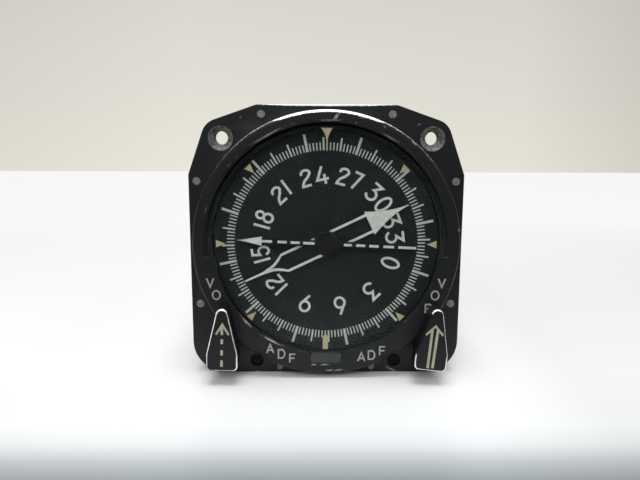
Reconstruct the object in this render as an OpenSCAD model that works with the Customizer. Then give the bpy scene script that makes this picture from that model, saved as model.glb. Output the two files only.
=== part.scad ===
// Radio magnetic indicator for an aircraft panel, standard 3 1/8 inch size, millimetres.
// The origin is on the dial's axis, in the plane of the flange's front face.
// The dial looks along -Y and +Z is up.
// Inside the front() module a shape is drawn as it is seen from the pilot's seat: x right, y up,
// z towards the viewer, so a z of -5 there is 5 mm behind the flange's face.

/* [Flange] */
// Width and height of the square flange
flange_w = 82.55; // [80:0.05:90]
// Thickness of the flange
flange_t = 5.1; // [4.5:0.1:7]
// Length of the straight edge between the two cut upper corners
top_flat = 41.4; // [34:0.1:46]
// Radius of the flange round each upper mounting hole
lug_r = 5.75; // [4.5:0.05:6.5]
// Radius of the two lower corners
corner_r = 10; // [6:0.5:14]
// Circle of the upper mounting holes, which lie on its diagonals
bolt_circle_d = 88.9; // [88:0.05:92]
// Diameter of a mounting hole
bolt_d = 4; // [3.5:0.1:4.5]
// Diameter of the countersink of an upper mounting hole
sink_d = 7.1; // [6:0.1:8]
// Distance between the lower mounting holes
low_bolt_pitch = 43; // [40:0.1:46]
// Distance of the lower mounting holes below the dial's axis
low_bolt_drop = 37.4; // [36.5:0.1:38]
// Radius of the scallop that clears a lower screw's head
scallop_r = 5.1; // [4:0.1:6]
// Diameter of a flush pin in the flange
pin_d = 2.3; // [1.6:0.1:2.6]
// Diameter of the two flush pins near the bottom edge
low_pin_d = 1.9; // [1.4:0.1:2.2]

/* [Bezel ring] */
// Diameter of the window at the ring's face
window_d = 74; // [72:0.1:75]
// Width of the ring's face round the window
ring_w = 2.8; // [2:0.1:3.5]
// Height of the ring above the flange
ring_h = 5.5; // [4:0.1:8]
// Radius of the ring's rounded outer edge
ring_round = 0.9; // [0.4:0.1:1.2]
// Narrowing of the window towards the glass, on each side
window_taper = 0.8; // [0.2:0.1:1.2]
// Thickness of the lip that holds the glass
lip_t = 1; // [0.8:0.1:1.5]
// Width of the lettered hood, which covers the edge of the window's lower half
hood_w = 3.7; // [3.4:0.1:5]
// Distance of the hood's level top edges below the dial's axis
hood_drop = 3.2; // [1:0.1:8]
// Width of the lamp cover
lamp_cover_w = 9.2; // [7:0.1:12]
// Height of the lamp cover on the ring's face
lamp_cover_h = 2.9; // [2:0.1:3.4]

/* [Glass and dial] */
// Thickness of the cover glass
glass_t = 2; // [1.5:0.1:2.5]
// Thickness of the glass's gasket
gasket_t = 0.3; // [0.2:0.1:0.6]
// Overlap of the lip and the glass's edge
glass_lap = 0.4; // [0.2:0.1:0.6]
// Distance of the card's face behind the flange's face
card_depth = 1.2; // [1:0.1:3]
// Thickness of the compass card
card_t = 0.8; // [0.6:0.1:1]
// Width of the fixed mask's rim round the card
mask_rim_w = 1.8; // [1.4:0.1:3]
// Gap between the card and the mask
card_gap = 0.4; // [0.3:0.1:0.8]

/* [Pointers] */
// Length of both pointers from the axis to the tip
pointer_r = 27.4; // [24:0.1:29]
// Thickness of a pointer's sheet
pointer_t = 0.3; // [0.2:0.05:0.4]
// Width of the single pointer's blade
single_w = 1.9; // [1.4:0.1:2.4]
// Width of the single pointer's head
single_head_w = 3.2; // [2.6:0.1:4.5]
// Length of the single pointer's head
single_head_l = 8; // [6:0.5:11]
// Clockwise bearing of the single pointer from the top index
single_bearing = 272.6; // [0:0.1:360]
// Width of one bar of the double pointer
bar_w = 0.75; // [0.6:0.05:1]
// Distance between the middles of the double pointer's bars
bar_pitch = 5.4; // [4.6:0.1:6]
// Width of the double pointer's head
double_head_w = 7.7; // [7:0.1:9]
// Length of the double pointer's head
double_head_l = 13; // [11:0.5:15]
// Clockwise bearing of the double pointer from the top index
double_bearing = 64.4; // [0:0.1:360]
// Radius of the black discs at the pointers' middles
pointer_hub_r = 3.5; // [3.2:0.1:4.5]

/* [Selector knobs] */
// Distance of a knob's axis outside the ring's edge
knob_out = 4.25; // [3.8:0.05:5]
// Direction of a knob's axis from the dial's, below the horizontal
knob_angle = 45.1; // [43:0.1:47]
// Distance from a knob's axis to its tip
knob_tip = 14.1; // [11:0.1:15]
// Width of a knob across its round end
knob_w = 9.9; // [8.5:0.1:11]
// Radius of a knob's tip
knob_tip_r = 1.95; // [1.4:0.05:2.6]
// Thickness of a knob
knob_t = 5.6; // [4:0.1:8]
// Gap between a knob and the ring's face
knob_gap = 0.5; // [0.3:0.1:1]
// Clockwise lean of the left knob at rest
left_lean = 2.4; // [0:0.1:8]
// Clockwise lean of the right knob at rest
right_lean = 4.5; // [0:0.1:8]
// Radius of the knobs' shafts
knob_shaft_r = 1.59; // [1.2:0.01:2]

/* [Case] */
// Wall of the casting's skirt round the glass's bore, up to the outside of the case
skirt_wall = 2.8; // [2.6:0.1:3.4]
// Length of the whole case behind the flange's face
case_l = 128; // [122:1:170]
// Wall of the case
case_wall = 1.2; // [0.8:0.1:1.6]
// Thickness of the rear cover
cover_t = 3; // [2:0.5:4]
// Radius of the rear connector's barrel
plug_r = 11.1; // [10.5:0.1:13]
// Wall of the connector's barrel
plug_wall = 1.5; // [1:0.1:2]
// Length of the connector's barrel behind its flange
plug_l = 11.5; // [10:0.5:16]
// Side of the connector's square flange
plug_flange = 26; // [25:0.5:30]

/* [Mechanism] */
// Thickness of the mechanism's plates
plate_t = 2; // [1.5:0.5:3]
// Distance between the gears' axes, from the dial's axis to a synchro's
synchro_pitch = 20; // [20:0.5:20]
// Module of all the gears
gear_module = 0.5; // [0.5:0.1:0.5]
// Teeth of each gear on the dial's axis
main_teeth = 60; // [60:1:60]
// Teeth of each synchro's pinion
pinion_teeth = 20; // [20:1:20]
// Teeth of each gear of the selectors
selector_teeth = 24; // [20:2:24]
// Thickness of the main gears and their pinions
gear_t = 2.5; // [2:0.1:3]
// Radius of a synchro's body
synchro_r = 13.5; // [10:0.5:14]
// Length of a synchro's body
synchro_l = 34; // [25:1:36]
// Radius of the posts between the plates
post_r = 3; // [2:0.5:4]

/* [Fits] */
// Radial running clearance of a shaft in its bearing
run_gap = 0.05; // [0.02:0.01:0.08]
// Radial clearance of a piece that is pressed or screwed in place
seat_gap = 0.01; // [0.005:0.005:0.03]
// Radial clearance of the stacked front parts in the casting
stack_gap = 0.1; // [0.05:0.05:0.3]
// Thinning of each tooth's flank, for backlash
tooth_gap = 0.03; // [0.01:0.01:0.06]

/* [Hidden] */
$fn = 96;

black_paint = "#232729";
worn_metal = "#7c7a73";
steel = "#9a9ba0";
brass = "#b9974e";
housing_grey = "#b8b8b4";

half_w = flange_w / 2;
ring_r = window_d / 2 + ring_w;
window_back_r = window_d / 2 - window_taper;
hood_r = window_d / 2 - hood_w;
bolt_xy = bolt_circle_d / 2 * cos(45);
sink_depth = (sink_d - bolt_d) / 2;
lip_back = ring_h - lip_t;
glass_front = lip_back - gasket_t;
glass_back = glass_front - glass_t;
glass_r = window_back_r + glass_lap;
bore_r = glass_r + stack_gap;
card_front = -card_depth;
card_back = card_front - card_t;
mask_hole_r = glass_r - mask_rim_w;
mask_t = 0.8;
mask_front = card_front + 0.1;
card_r = mask_hole_r - card_gap;
spacer_wall = 1.2;
case_r = bore_r + skirt_wall;
case_in_r = case_r - case_wall;

// Stations of the mechanism, from front to back
selector_room_top = -flange_t - 1.2;
selector_gear_t = 2;
selector_gear_z = selector_room_top - 1.2 - selector_gear_t;
plate_front = selector_gear_z - 1.5;
plate_back = plate_front - plate_t;
skirt_back = plate_back;
spigot_l = 6;
gear_step = gear_t + 5.5;
card_gear_z = plate_back - 3 - gear_t;
double_gear_z = card_gear_z - gear_step;
single_gear_z = double_gear_z - gear_step;
middle_front = single_gear_z - 7.5;
middle_back = middle_front - plate_t;
synchro_back = middle_back - synchro_l;
terminal_l = 4;
rear_front = synchro_back - 2 * terminal_l;
rear_back = rear_front - plate_t;
standoff_l = 4.4;
board_front = rear_back - standoff_l;
board_t = 1.6;
cover_front = -case_l + cover_t;
plate_r = bore_r - stack_gap / 2;

// The shafts nest: the single pointer's shaft runs in the double pointer's tube, and that in the card's hub
shaft_r = 0.8;
tube_in_r = shaft_r + run_gap;
tube_r = 1.6;
hub_in_r = tube_r + run_gap;
hub_r = 3;
cap_t = 0.4;
cap_gap = 0.4;
disc_proud = 0.15;
pointer_step = 0.6;
single_front = glass_back - cap_gap - cap_t;
single_back = single_front - pointer_t;
double_front = single_back - pointer_step;
double_back = double_front - pointer_t;

// Selector gearing: the knob's pinion drives a switch's gear inside the case, on the same diagonal
selector_pitch = gear_module * selector_teeth;
knob_r = ring_r + knob_out;
knob_side = knob_r * cos(knob_angle);
knob_drop = knob_r * sin(knob_angle);
switch_r = knob_r - selector_pitch;
switch_side = switch_r * cos(knob_angle);
switch_drop = switch_r * sin(knob_angle);
selector_room = selector_pitch / 2 + gear_module + 0.5;
lobe_wall = 2.2;
lobe_r = selector_room + lobe_wall;
lobe_back = plate_front;
lobe_cover_t = 1;
boss_r = 4.2;
boss_gap = 0.3;
knob_back = ring_h + knob_gap;
rotor_shaft_r = 1.2;

post_ring = plate_r - 5.65;
post_angles = [30, 150, 270];
synchro_angles = [90, 210, 330];
lamp_r = 1;
lamp_hole_r = lamp_r + 0.2;
lamp_drop = bore_r + lamp_r + 0.05;
radial_screw_r = 1.2;

// Turns a shape drawn as seen from the front into the part's own axes
module front() {
    rotate([90, 0, 0]) children();
}

// A disc or tube between two stations, z0 behind z1
module tube(z0, z1, r, hole = 0) {
    translate([0, 0, z0]) difference() {
        cylinder(h = z1 - z0, r = r);
        if (hole > 0) translate([0, 0, -1]) cylinder(h = z1 - z0 + 2, r = hole);
    }
}

module bar(z0, z1, r, x = 0, y = 0) {
    translate([x, y, z0]) cylinder(h = z1 - z0, r = r);
}

// A hole through a wall of thickness t whose back is at station z0
module through(z0, t, r) {
    bar(z0 - 1, z0 + t + 1, r);
}

module ring_of(angles, radius) {
    for (a = angles) rotate([0, 0, a]) translate([radius, 0, 0]) children();
}

// The point where a line from p touches the circle of radius r round c, on the side given by turn
function touch(p, c, r, turn) =
    let (d = norm(p - c), a = atan2(p[1] - c[1], p[0] - c[0]) + turn * acos(r / d))
    c + r * [cos(a), sin(a)];

// Flange seen from the front: two cut upper corners round the mounting holes, two round lower ones
module flange_outline() {
    hole = [bolt_xy, bolt_xy];
    top_end = [top_flat / 2, half_w];
    side_end = [half_w, top_flat / 2];
    right_half = [
        [0, half_w], top_end, touch(top_end, hole, lug_r, -1), hole, touch(side_end, hole, lug_r, 1),
        side_end, [half_w, corner_r - half_w], [half_w - corner_r, corner_r - half_w],
        [half_w - corner_r, -half_w], [0, -half_w]
    ];
    for (m = [0, 1]) mirror([m, 0]) {
        polygon(right_half);
        translate(hole) circle(r = lug_r);
        translate([half_w - corner_r, corner_r - half_w]) circle(r = corner_r);
    }
}

// Section of the raised ring to the right of the axis, with its rounded outer edge
module ring_section() {
    round_x = ring_r - ring_round;
    round_y = ring_h - ring_round;
    polygon([
        [bore_r, -flange_t], [ring_r, -flange_t], [ring_r, round_y], [round_x, round_y],
        [round_x, ring_h], [window_d / 2, ring_h], [window_back_r, lip_back], [bore_r, lip_back]
    ]);
    translate([round_x, round_y]) circle(r = ring_round);
}

// The lettered hood: the lower part of a thin disc, with level ends and a small fillet at each
module hood_outline() {
    fillet = 1;
    difference() {
        circle(r = window_d / 2 + 0.5);
        circle(r = hood_r);
        translate([-half_w, -hood_drop]) square([2 * half_w, half_w + hood_drop]);
    }
    outer_x = sqrt(pow(window_d / 2, 2) - hood_drop * hood_drop);
    for (m = [0, 1]) mirror([m, 0]) difference() {
        translate([outer_x - fillet, -hood_drop - 0.5]) square([fillet + 0.6, fillet + 0.5]);
        translate([outer_x - fillet, -hood_drop + fillet]) circle(r = fillet);
    }
}

module both_sides() {
    for (m = [0, 1]) mirror([m, 0, 0]) children();
}

module at_knob() {
    translate([knob_side, -knob_drop, 0]) children();
}

module at_switch() {
    translate([switch_side, -switch_drop, 0]) children();
}

pin_r = 43.15;
low_pin_r = 42.05;
pin_angles = [26.7, 64.2, 116.2];
low_pin_angle = 160.1;
pin_depth = 3;

// Places its child at every flush pin; angles are clockwise from the top
module at_pins(low) {
    for (a = low ? [low_pin_angle] : pin_angles) both_sides()
        translate([(low ? low_pin_r : pin_r) * sin(a), (low ? low_pin_r : pin_r) * cos(a), 0]) children();
}

lamp_pocket_gap = 0.15;
lamp_pocket_floor = lip_back + 0.3;

module lamp_pocket() {
    w = lamp_cover_w + 2 * lamp_pocket_gap;
    h = lamp_cover_h + 2 * lamp_pocket_gap;
    translate([0, -hood_r - h / 2 + 0.1, 0]) {
        translate([-w / 2, -h / 2, lamp_pocket_floor]) cube([w, h, lip_t + 5]);
        // Slanted mouth where the pocket meets the window
        translate([0, 0, lamp_pocket_floor]) linear_extrude(lip_t + 5) polygon([
            [-w / 2, h / 2 - 0.9], [-w / 2 - 0.8, h / 2 + 1],
            [w / 2 + 0.8, h / 2 + 1], [w / 2, h / 2 - 0.9]
        ]);
    }
}

module bezel_casting() color(black_paint) front() difference() {
    union() {
        // Flange plate
        translate([0, 0, -flange_t]) linear_extrude(flange_t) difference() {
            flange_outline();
            circle(r = bore_r);
        }
        // Raised ring and the hood across the lower half of its window
        rotate_extrude() ring_section();
        translate([0, 0, lip_back]) linear_extrude(lip_t) hood_outline();
        // Skirt behind the flange, and the spigot that enters the case
        tube(skirt_back, -flange_t, case_r, bore_r);
        tube(skirt_back - spigot_l, skirt_back, case_in_r - stack_gap / 2, bore_r);
        // Lobes that hold the selector gears, and the bosses under the knobs
        both_sides() at_knob() {
            difference() {
                bar(lobe_back, -flange_t, lobe_r);
                bar(lobe_back - 1, 1 - flange_t, bore_r + 0.5, -knob_side, knob_drop);
            }
            difference() {
                bar(-1, ring_h - boss_gap, boss_r);
                bar(-2, ring_h + 1, ring_r - ring_round, -knob_side, knob_drop);
            }
        }
    }
    // Mounting holes
    for (x = [-bolt_xy, bolt_xy]) translate([x, bolt_xy, 0]) {
        through(-flange_t, flange_t, bolt_d / 2);
        translate([0, 0, -sink_depth]) cylinder(h = sink_depth, r1 = bolt_d / 2, r2 = sink_d / 2);
    }
    both_sides() translate([low_bolt_pitch / 2, -low_bolt_drop, 0]) {
        through(-flange_t, flange_t, bolt_d / 2);
        cylinder(h = ring_h + 1, r = scallop_r);
    }
    // Flush pins' holes
    translate([0, 0, -pin_depth]) {
        at_pins(false) cylinder(h = pin_depth + 1, r = pin_d / 2 + seat_gap);
        at_pins(true) cylinder(h = pin_depth + 1, r = low_pin_d / 2 + seat_gap);
    }
    // Knob shafts' bushings and the rooms of the selector gears
    both_sides() {
        at_knob() {
            bar(selector_room_top - 1, ring_h + 1, bushing_r + seat_gap);
            bar(lobe_back - 1, selector_room_top, selector_room);
            cover_screw_places() bar(-1, lobe_screw_l + 0.2, lobe_screw_r + seat_gap);
        }
        at_switch() bar(lobe_back, selector_room_top, selector_room);
    }
    // Hole of the lamp that lights the glass from its edge, and the pocket of the cover before it
    bar(lamp_holder_back, glass_front, lamp_hole_r, 0, -lamp_drop);
    lamp_pocket();
    // Radial screws of the case
    ring_of(case_screw_angles, 0) radial_hole(case_screw_z, radial_screw_r);
}

bushing_r = 3;
lamp_holder_r = lamp_r + 0.1;
lamp_holder_top = -6;
lamp_holder_back = skirt_back + 1;
case_screw_z = skirt_back - spigot_l / 2;
case_screw_angles = [30, 90, 150, 210, 330];
mechanism_screw_angles = [0, 120, 240];
frame_screw_stations = [middle_front - plate_t / 2, rear_front - plate_t / 2];

// Radial screws through the case's wall: each has a round head let into the wall
radial_head_r = 2.1;
radial_head_t = 1.1;
radial_head_in = case_r - case_wall / 2 - 0.3;
frame_screw_r = 0.7;

module along_radius(z) {
    translate([0, 0, z]) rotate([0, 90, 0]) children();
}

module radial_hole(z, r) {
    along_radius(z) bar(case_r - 6, case_r + 1, r + seat_gap);
}

module radial_counterbore(z) {
    along_radius(z) bar(radial_head_in - seat_gap, case_r + 1, radial_head_r + seat_gap);
}

module radial_screw(z, r, depth) {
    along_radius(z) {
        bar(case_r - depth, radial_head_in + 0.1, r);
        bar(radial_head_in, radial_head_in + radial_head_t, radial_head_r);
    }
}

module flange_pins() color(worn_metal) front() translate([0, 0, -pin_depth]) {
    at_pins(false) cylinder(h = pin_depth, r = pin_d / 2);
    at_pins(true) cylinder(h = pin_depth, r = low_pin_d / 2);
}

module knob_bushings() color(brass) front() both_sides() at_knob()
    tube(selector_room_top, ring_h - boss_gap, bushing_r, knob_shaft_r + run_gap);

// Plates that close the lobes behind the selector gears
module gear_covers() color(black_paint) front() both_sides() difference() {
    at_knob() bar(lobe_back - lobe_cover_t, lobe_back, lobe_r);
    through(lobe_back - lobe_cover_t, lobe_cover_t, case_r + stack_gap);
    at_knob() through(lobe_back - lobe_cover_t, lobe_cover_t, knob_shaft_r + run_gap);
    at_knob() cover_screw_places() through(-lobe_cover_t, lobe_cover_t, lobe_screw_r + seat_gap);
}

// Three screws through a lobe's cover into its wall
module cover_screw_places() {
    for (a = [-45, 0, -90]) rotate([0, 0, a]) translate([lobe_r - lobe_wall / 2, 0, lobe_back]) children();
}

lobe_screw_r = 0.6;
lobe_screw_l = 3;

module gear_cover_screws() color(steel) front() both_sides() at_knob() cover_screw_places() {
    bar(-lobe_cover_t, lobe_screw_l, lobe_screw_r);
    bar(-lobe_cover_t - 0.7, -lobe_cover_t, 1);
}

module glass_gasket() color("#2c2c2c") front()
    tube(glass_front, lip_back, glass_r, window_back_r);

module cover_glass() color("#c8dcdc", 0.3) front() tube(glass_back, glass_front, glass_r);

module glass_spacer() color(black_paint) front() tube(mask_front, glass_back, glass_r, glass_r - spacer_wall);

// The fixed mask is a cup: its rim shows round the card, and its wall reaches back to the front plate
module dial_mask() color(black_paint) front() difference() {
    union() {
        tube(mask_front - mask_t, mask_front, glass_r, mask_hole_r);
        tube(plate_front, mask_front - mask_t, glass_r, glass_r - mask_t);
    }
    both_sides() at_switch() bar(plate_front - 1, selector_room_top, selector_room);
}

module lamp_cover() color("#4a4d52") front() {
    top = -hood_r - lamp_pocket_gap + 0.1;
    translate([-lamp_cover_w / 2, top - lamp_cover_h, lamp_pocket_floor])
        cube([lamp_cover_w, lamp_cover_h, ring_h - lamp_pocket_floor - 0.1]);
}

module lamp() color("#e8dcc0") front() {
    bar(lamp_holder_top, 1.5, lamp_r, 0, -lamp_drop);
    translate([0, -lamp_drop, 1.5]) sphere(r = lamp_r);
}

module lamp_holder() color(brass) front()
    bar(lamp_holder_back, lamp_holder_top, lamp_holder_r, 0, -lamp_drop);

module case_can() color(black_paint) front() difference() {
    union() {
        tube(-case_l, skirt_back, case_r, case_in_r);
        // Ledge that the rear cover is screwed to
        tube(cover_front, cover_front + ledge_t, case_in_r + 0.1, case_in_r - 3.5);
    }
    ring_of(case_screw_angles, 0) {
        radial_hole(case_screw_z, radial_screw_r);
        radial_counterbore(case_screw_z);
    }
    for (z = frame_screw_stations) ring_of(mechanism_screw_angles, 0) {
        radial_hole(z, frame_screw_r);
        radial_counterbore(z);
    }
    ring_of(cover_screw_angles, cover_screw_ring) through(cover_front, ledge_t, cover_screw_r + seat_gap);
}

cover_screw_angles = [30 : 60 : 330];
cover_screw_ring = case_in_r - 1.9;
cover_screw_r = 1;
ledge_t = 3;

module case_screws() color(steel) front()
    ring_of(case_screw_angles, 0) radial_screw(case_screw_z, radial_screw_r, 3);

module mechanism_screws() color(steel) front()
    for (z = frame_screw_stations) ring_of(mechanism_screw_angles, 0) radial_screw(z, frame_screw_r, 5);

module rear_cover() color(black_paint) front() difference() {
    tube(-case_l, cover_front, case_in_r - stack_gap / 2, plug_r + stack_gap);
    ring_of(cover_screw_angles, cover_screw_ring) through(-case_l, cover_t, cover_screw_r + seat_gap);
    plug_screw_places() through(-case_l, cover_t, plug_screw_r + seat_gap);
}

module rear_cover_screws() color(steel) front() ring_of(cover_screw_angles, cover_screw_ring) {
    bar(-case_l, cover_front + 2.5, cover_screw_r);
    bar(-case_l - 1.2, -case_l, 1.8);
}

plug_gasket_t = 0.5;
plug_flange_t = 2;
plug_screw_r = 1.2;
plug_flange_back = -case_l - plug_gasket_t - plug_flange_t;
plug_rim = plug_flange_back - plug_l;
plug_inside = -case_l + 6;
insert_back = plug_flange_back - 2.5;
pin_reach = 3.8;
plug_pin_r = 0.5;
plug_pin_pitch = 3.4;

module plug_screw_places() {
    p = plug_flange / 2 - 3;
    for (x = [-p, p], y = [-p, p]) translate([x, y, 0]) children();
}

module plug_square(z0, t) {
    translate([-plug_flange / 2, -plug_flange / 2, z0]) cube([plug_flange, plug_flange, t]);
}

// Contacts in a hexagonal layout: one in the middle, six round it and twelve outside
module plug_contacts() {
    for (i = [-2 : 2], j = [-2 : 2]) if (abs(i + j) < 3)
        translate([(i + j / 2) * plug_pin_pitch, j * plug_pin_pitch * sin(60), 0]) children();
}

module connector_shell() color(steel) front() difference() {
    union() {
        tube(plug_rim, plug_inside, plug_r, plug_r - plug_wall);
        difference() {
            plug_square(plug_flange_back, plug_flange_t);
            through(plug_flange_back, plug_flange_t, plug_r - plug_wall / 2);
        }
    }
    plug_screw_places() through(plug_flange_back, plug_flange_t, plug_screw_r + seat_gap);
}

module connector_gasket() color("#2c2c2c") front() difference() {
    plug_square(-case_l - plug_gasket_t, plug_gasket_t);
    through(-case_l - plug_gasket_t, plug_gasket_t, plug_r + stack_gap);
    plug_screw_places() through(-case_l - plug_gasket_t, plug_gasket_t, plug_screw_r + seat_gap);
}

module connector_insert() color("#3c4a44") front() difference() {
    tube(insert_back, plug_inside, plug_r - plug_wall - seat_gap);
    plug_contacts() through(insert_back, plug_inside - insert_back, plug_pin_r + seat_gap, $fn = 24);
}

module connector_pins() color(brass) front()
    plug_contacts() bar(insert_back - pin_reach, plug_inside + 2, plug_pin_r, $fn = 24);

module connector_screws() color(steel) front() plug_screw_places() {
    bar(plug_flange_back, cover_front - 0.5, plug_screw_r);
    bar(plug_flange_back - 1.2, plug_flange_back, 2.2);
}

// Flat round plate of the mechanism, with holes for the posts' screws
module plate(z0, r) {
    difference() {
        tube(z0, z0 + plate_t, r);
        ring_of(post_angles, post_ring) through(z0, plate_t, post_screw_r + seat_gap);
        children();
    }
}

post_screw_r = 0.95;
card_bearing_r = 5;
pilot_r = 4;
switch_nose_r = 3;
switch_body_r = 4.2;
switch_l = 13;
switch_shaft_l = 8.5;

module front_plate() color(steel) front() plate(plate_back, plate_r) {
    through(plate_back, plate_t, card_bearing_r + seat_gap);
    both_sides() at_switch() through(plate_back, plate_t, switch_nose_r + seat_gap);
}

module middle_plate() color(steel) front() plate(middle_back, case_in_r - stack_gap) {
    through(middle_back, plate_t, pointer_bearing_r + seat_gap);
    ring_of(synchro_angles, synchro_pitch) through(middle_back, plate_t, pilot_r + seat_gap);
    at_clamps() through(middle_back, plate_t, clamp_screw_r + seat_gap);
    ring_of(mechanism_screw_angles, 0) radial_hole(frame_screw_stations[0], frame_screw_r);
}

module rear_plate() color(steel) front() plate(rear_back, case_in_r - stack_gap) {
    through(rear_back, plate_t, 8);
    ring_of(mechanism_screw_angles, 0) radial_hole(frame_screw_stations[1], frame_screw_r);
}

pointer_bearing_r = 2.5;

module plate_posts() color(steel) front() ring_of(post_angles, post_ring) {
    tube(middle_front, plate_back, post_r, post_screw_r + seat_gap);
    tube(rear_front, middle_back, post_r, post_screw_r + seat_gap);
}

module plate_screws() color(steel) front() ring_of(post_angles, post_ring) {
    bar(plate_front - 8, plate_front, post_screw_r);
    bar(plate_front, plate_front + 1.2, 2);
    bar(middle_back - 6, middle_front + 6, post_screw_r);
    bar(rear_back, rear_front + 6, post_screw_r);
    bar(rear_back - 1.2, rear_back, 2);
}

module card_bearing() color(brass) front() tube(plate_back, plate_front, card_bearing_r, hub_r + run_gap);

module pointer_bearing() color(brass) front()
    tube(middle_back, middle_front, pointer_bearing_r, shaft_r + run_gap);

rotor_depth = 12;
clamp_rim = 2;
clamp_t = 1.2;
clamp_depth = 0.9;
clamp_r = 2.2;
clamp_screw_r = 0.8;
clamp_ring = synchro_r + clamp_r - clamp_depth + 0.2;

// One synchro's body behind the middle plate, with its pilot in the plate and its shaft's bore
module synchro() {
    difference() {
        union() {
            bar(synchro_back, middle_back, synchro_r);
            bar(middle_back, middle_front, pilot_r);
        }
        bar(middle_back - rotor_depth, middle_front + 1, rotor_shaft_r + run_gap);
        // Groove that the clamps hold the body by
        translate([0, 0, middle_back - clamp_rim - clamp_t - 0.1]) rotate_extrude()
            translate([synchro_r - clamp_depth, 0]) square([clamp_depth + 1, clamp_t + 0.2]);
    }
}

module heading_synchro() color(housing_grey) front()
    ring_of([synchro_angles[0]], synchro_pitch) synchro();

module pointer_synchros() color(housing_grey) front()
    ring_of([synchro_angles[1], synchro_angles[2]], synchro_pitch) synchro();

module at_clamps() {
    ring_of(synchro_angles, synchro_pitch) ring_of([60 : 120 : 300], clamp_ring) children();
}

// Captive clamp screws: a disc that reaches into the synchro's groove, on a collar and a shank
module synchro_clamps() color(steel) front() at_clamps() {
    bar(middle_back - clamp_rim - clamp_t, middle_back - clamp_rim, clamp_r);
    bar(middle_back - clamp_rim, middle_back, clamp_ring - synchro_r - 0.1);
    bar(middle_back, middle_front, clamp_screw_r);
}

module synchro_terminals() color(brass) front() ring_of(synchro_angles, synchro_pitch)
    ring_of([0 : 72 : 288], 6) bar(synchro_back - terminal_l, synchro_back, 0.6);

board_w = 50;
board_h = 44;

module amplifier_board() color("#3f6b4a") front()
    translate([-board_w / 2, -board_h / 2, board_front - board_t]) cube([board_w, board_h, board_t]);

// Transformers and capacitors behind the amplifier's board
module amplifier_parts() color("#8a8578") front() {
    top = board_front - board_t;
    for (x = [-16, 16]) translate([x - 6.5, -6.5, top - 11]) cube([13, 13, 11]);
    for (x = [-18, -6, 6, 18]) bar(top - 9, top, 3.2, x, 15.5);
    for (x = [-14, 14]) bar(top - 6, top, 4, x, -15);
}

module board_standoffs() color(steel) front()
    for (x = [-22, 22], y = [-18, 18]) bar(board_front, rear_back, 2, x, y);

module wiring_loom() color("#d8d2c0") front() bar(plug_inside + 2, board_front - board_t, 4.2);

module selector_switches() color("#3a3a3c") front() both_sides() at_switch() difference() {
    union() {
        bar(plate_back - switch_l, plate_back, switch_body_r);
        bar(plate_back, plate_front, switch_nose_r);
    }
    translate([0, 0, plate_back - switch_shaft_l - 0.5]) cylinder(h = 20, r = rotor_shaft_r + run_gap);
}

// The card turns with its hub and gear. Its numbers and lines are painted.
module compass_card() color("#262a2b") front() difference() {
    tube(card_back, card_front, card_r, hub_r + seat_gap);
    ring_of(hub_screw_angles, hub_screw_ring) through(card_back, card_t, hub_screw_r + seat_gap);
}

hub_flange_r = 7;
hub_flange_t = 1.5;
hub_screw_ring = 5;
hub_screw_r = 0.5;
hub_screw_angles = [30, 150, 270];

module card_hub() color(brass) front() difference() {
    union() {
        bar(card_gear_z - 0.5, card_front, hub_r);
        bar(card_back - hub_flange_t, card_back, hub_flange_r);
    }
    translate([0, 0, card_gear_z - 1]) cylinder(h = 30, r = hub_in_r);
    ring_of(hub_screw_angles, hub_screw_ring) translate([0, 0, card_back - hub_flange_t - 1])
        cylinder(h = hub_flange_t + 2, r = hub_screw_r + seat_gap);
}

module card_screws() color(black_paint) front() ring_of(hub_screw_angles, hub_screw_ring) {
    bar(card_back - hub_flange_t, card_front, hub_screw_r, $fn = 32);
    bar(card_front, card_front + 0.3, 0.9, $fn = 32);
}

// Half the angle of an involute tooth at radius r, in degrees
function involute(a) = tan(a) * 180 / PI - a;
function tooth_half(teeth, r) =
    let (pitch_r = gear_module * teeth / 2, base_r = pitch_r * cos(20))
    90 / teeth - tooth_gap / pitch_r * 180 / PI
    + involute(20) - involute(acos(min(1, base_r / max(r, base_r))));

function gear_points(teeth) =
    let (
        pitch_r = gear_module * teeth / 2,
        radii = [pitch_r - 1.25 * gear_module, pitch_r, pitch_r + gear_module]
    )
    [for (k = [0 : teeth - 1], side = [-1, 1], i = side < 0 ? [0, 1, 2] : [2, 1, 0])
        let (a = 360 * k / teeth + side * tooth_half(teeth, radii[i])) radii[i] * [cos(a), sin(a)]];

// A spur gear from z to z + t with a tooth on the line at angle turn
module gear(teeth, z, t, hole, turn) {
    translate([0, 0, z]) difference() {
        rotate([0, 0, turn]) linear_extrude(t) polygon(gear_points(teeth));
        translate([0, 0, -1]) cylinder(h = t + 2, r = hole);
        children();
    }
}

// A gear on the dial's axis, drilled for lightness, in mesh with the synchro at the given angle
module main_gear(z, hole, mesh) {
    gear(main_teeth, z, gear_t, hole, mesh)
        ring_of([0 : 72 : 288], 9.5) translate([0, 0, -1]) cylinder(h = gear_t + 2, r = 2.8);
}

// A pinion cut on its own shaft, with a tooth gap on the line at angle gap
module pinion_shaft(teeth, z, t, gap) {
    rotate([0, 0, gap + 180 / teeth]) translate([0, 0, z]) linear_extrude(t) polygon(gear_points(teeth));
}

module rotor(which, z) {
    ring_of([synchro_angles[which]], synchro_pitch) {
        pinion_shaft(pinion_teeth, z, gear_t, 180);
        bar(middle_back - rotor_depth + 0.5, z + gear_t + 0.5, rotor_shaft_r);
    }
}

module card_gear() color(brass) front() main_gear(card_gear_z, hub_r + seat_gap, synchro_angles[0]);

module heading_rotor() color(steel) front() rotor(0, card_gear_z);

module double_pointer_gear() color(brass) front()
    main_gear(double_gear_z, tube_r + seat_gap, synchro_angles[1]);

module double_rotor() color(steel) front() rotor(1, double_gear_z);

module single_pointer_gear() color(brass) front()
    main_gear(single_gear_z, shaft_r + seat_gap, synchro_angles[2]);

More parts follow.
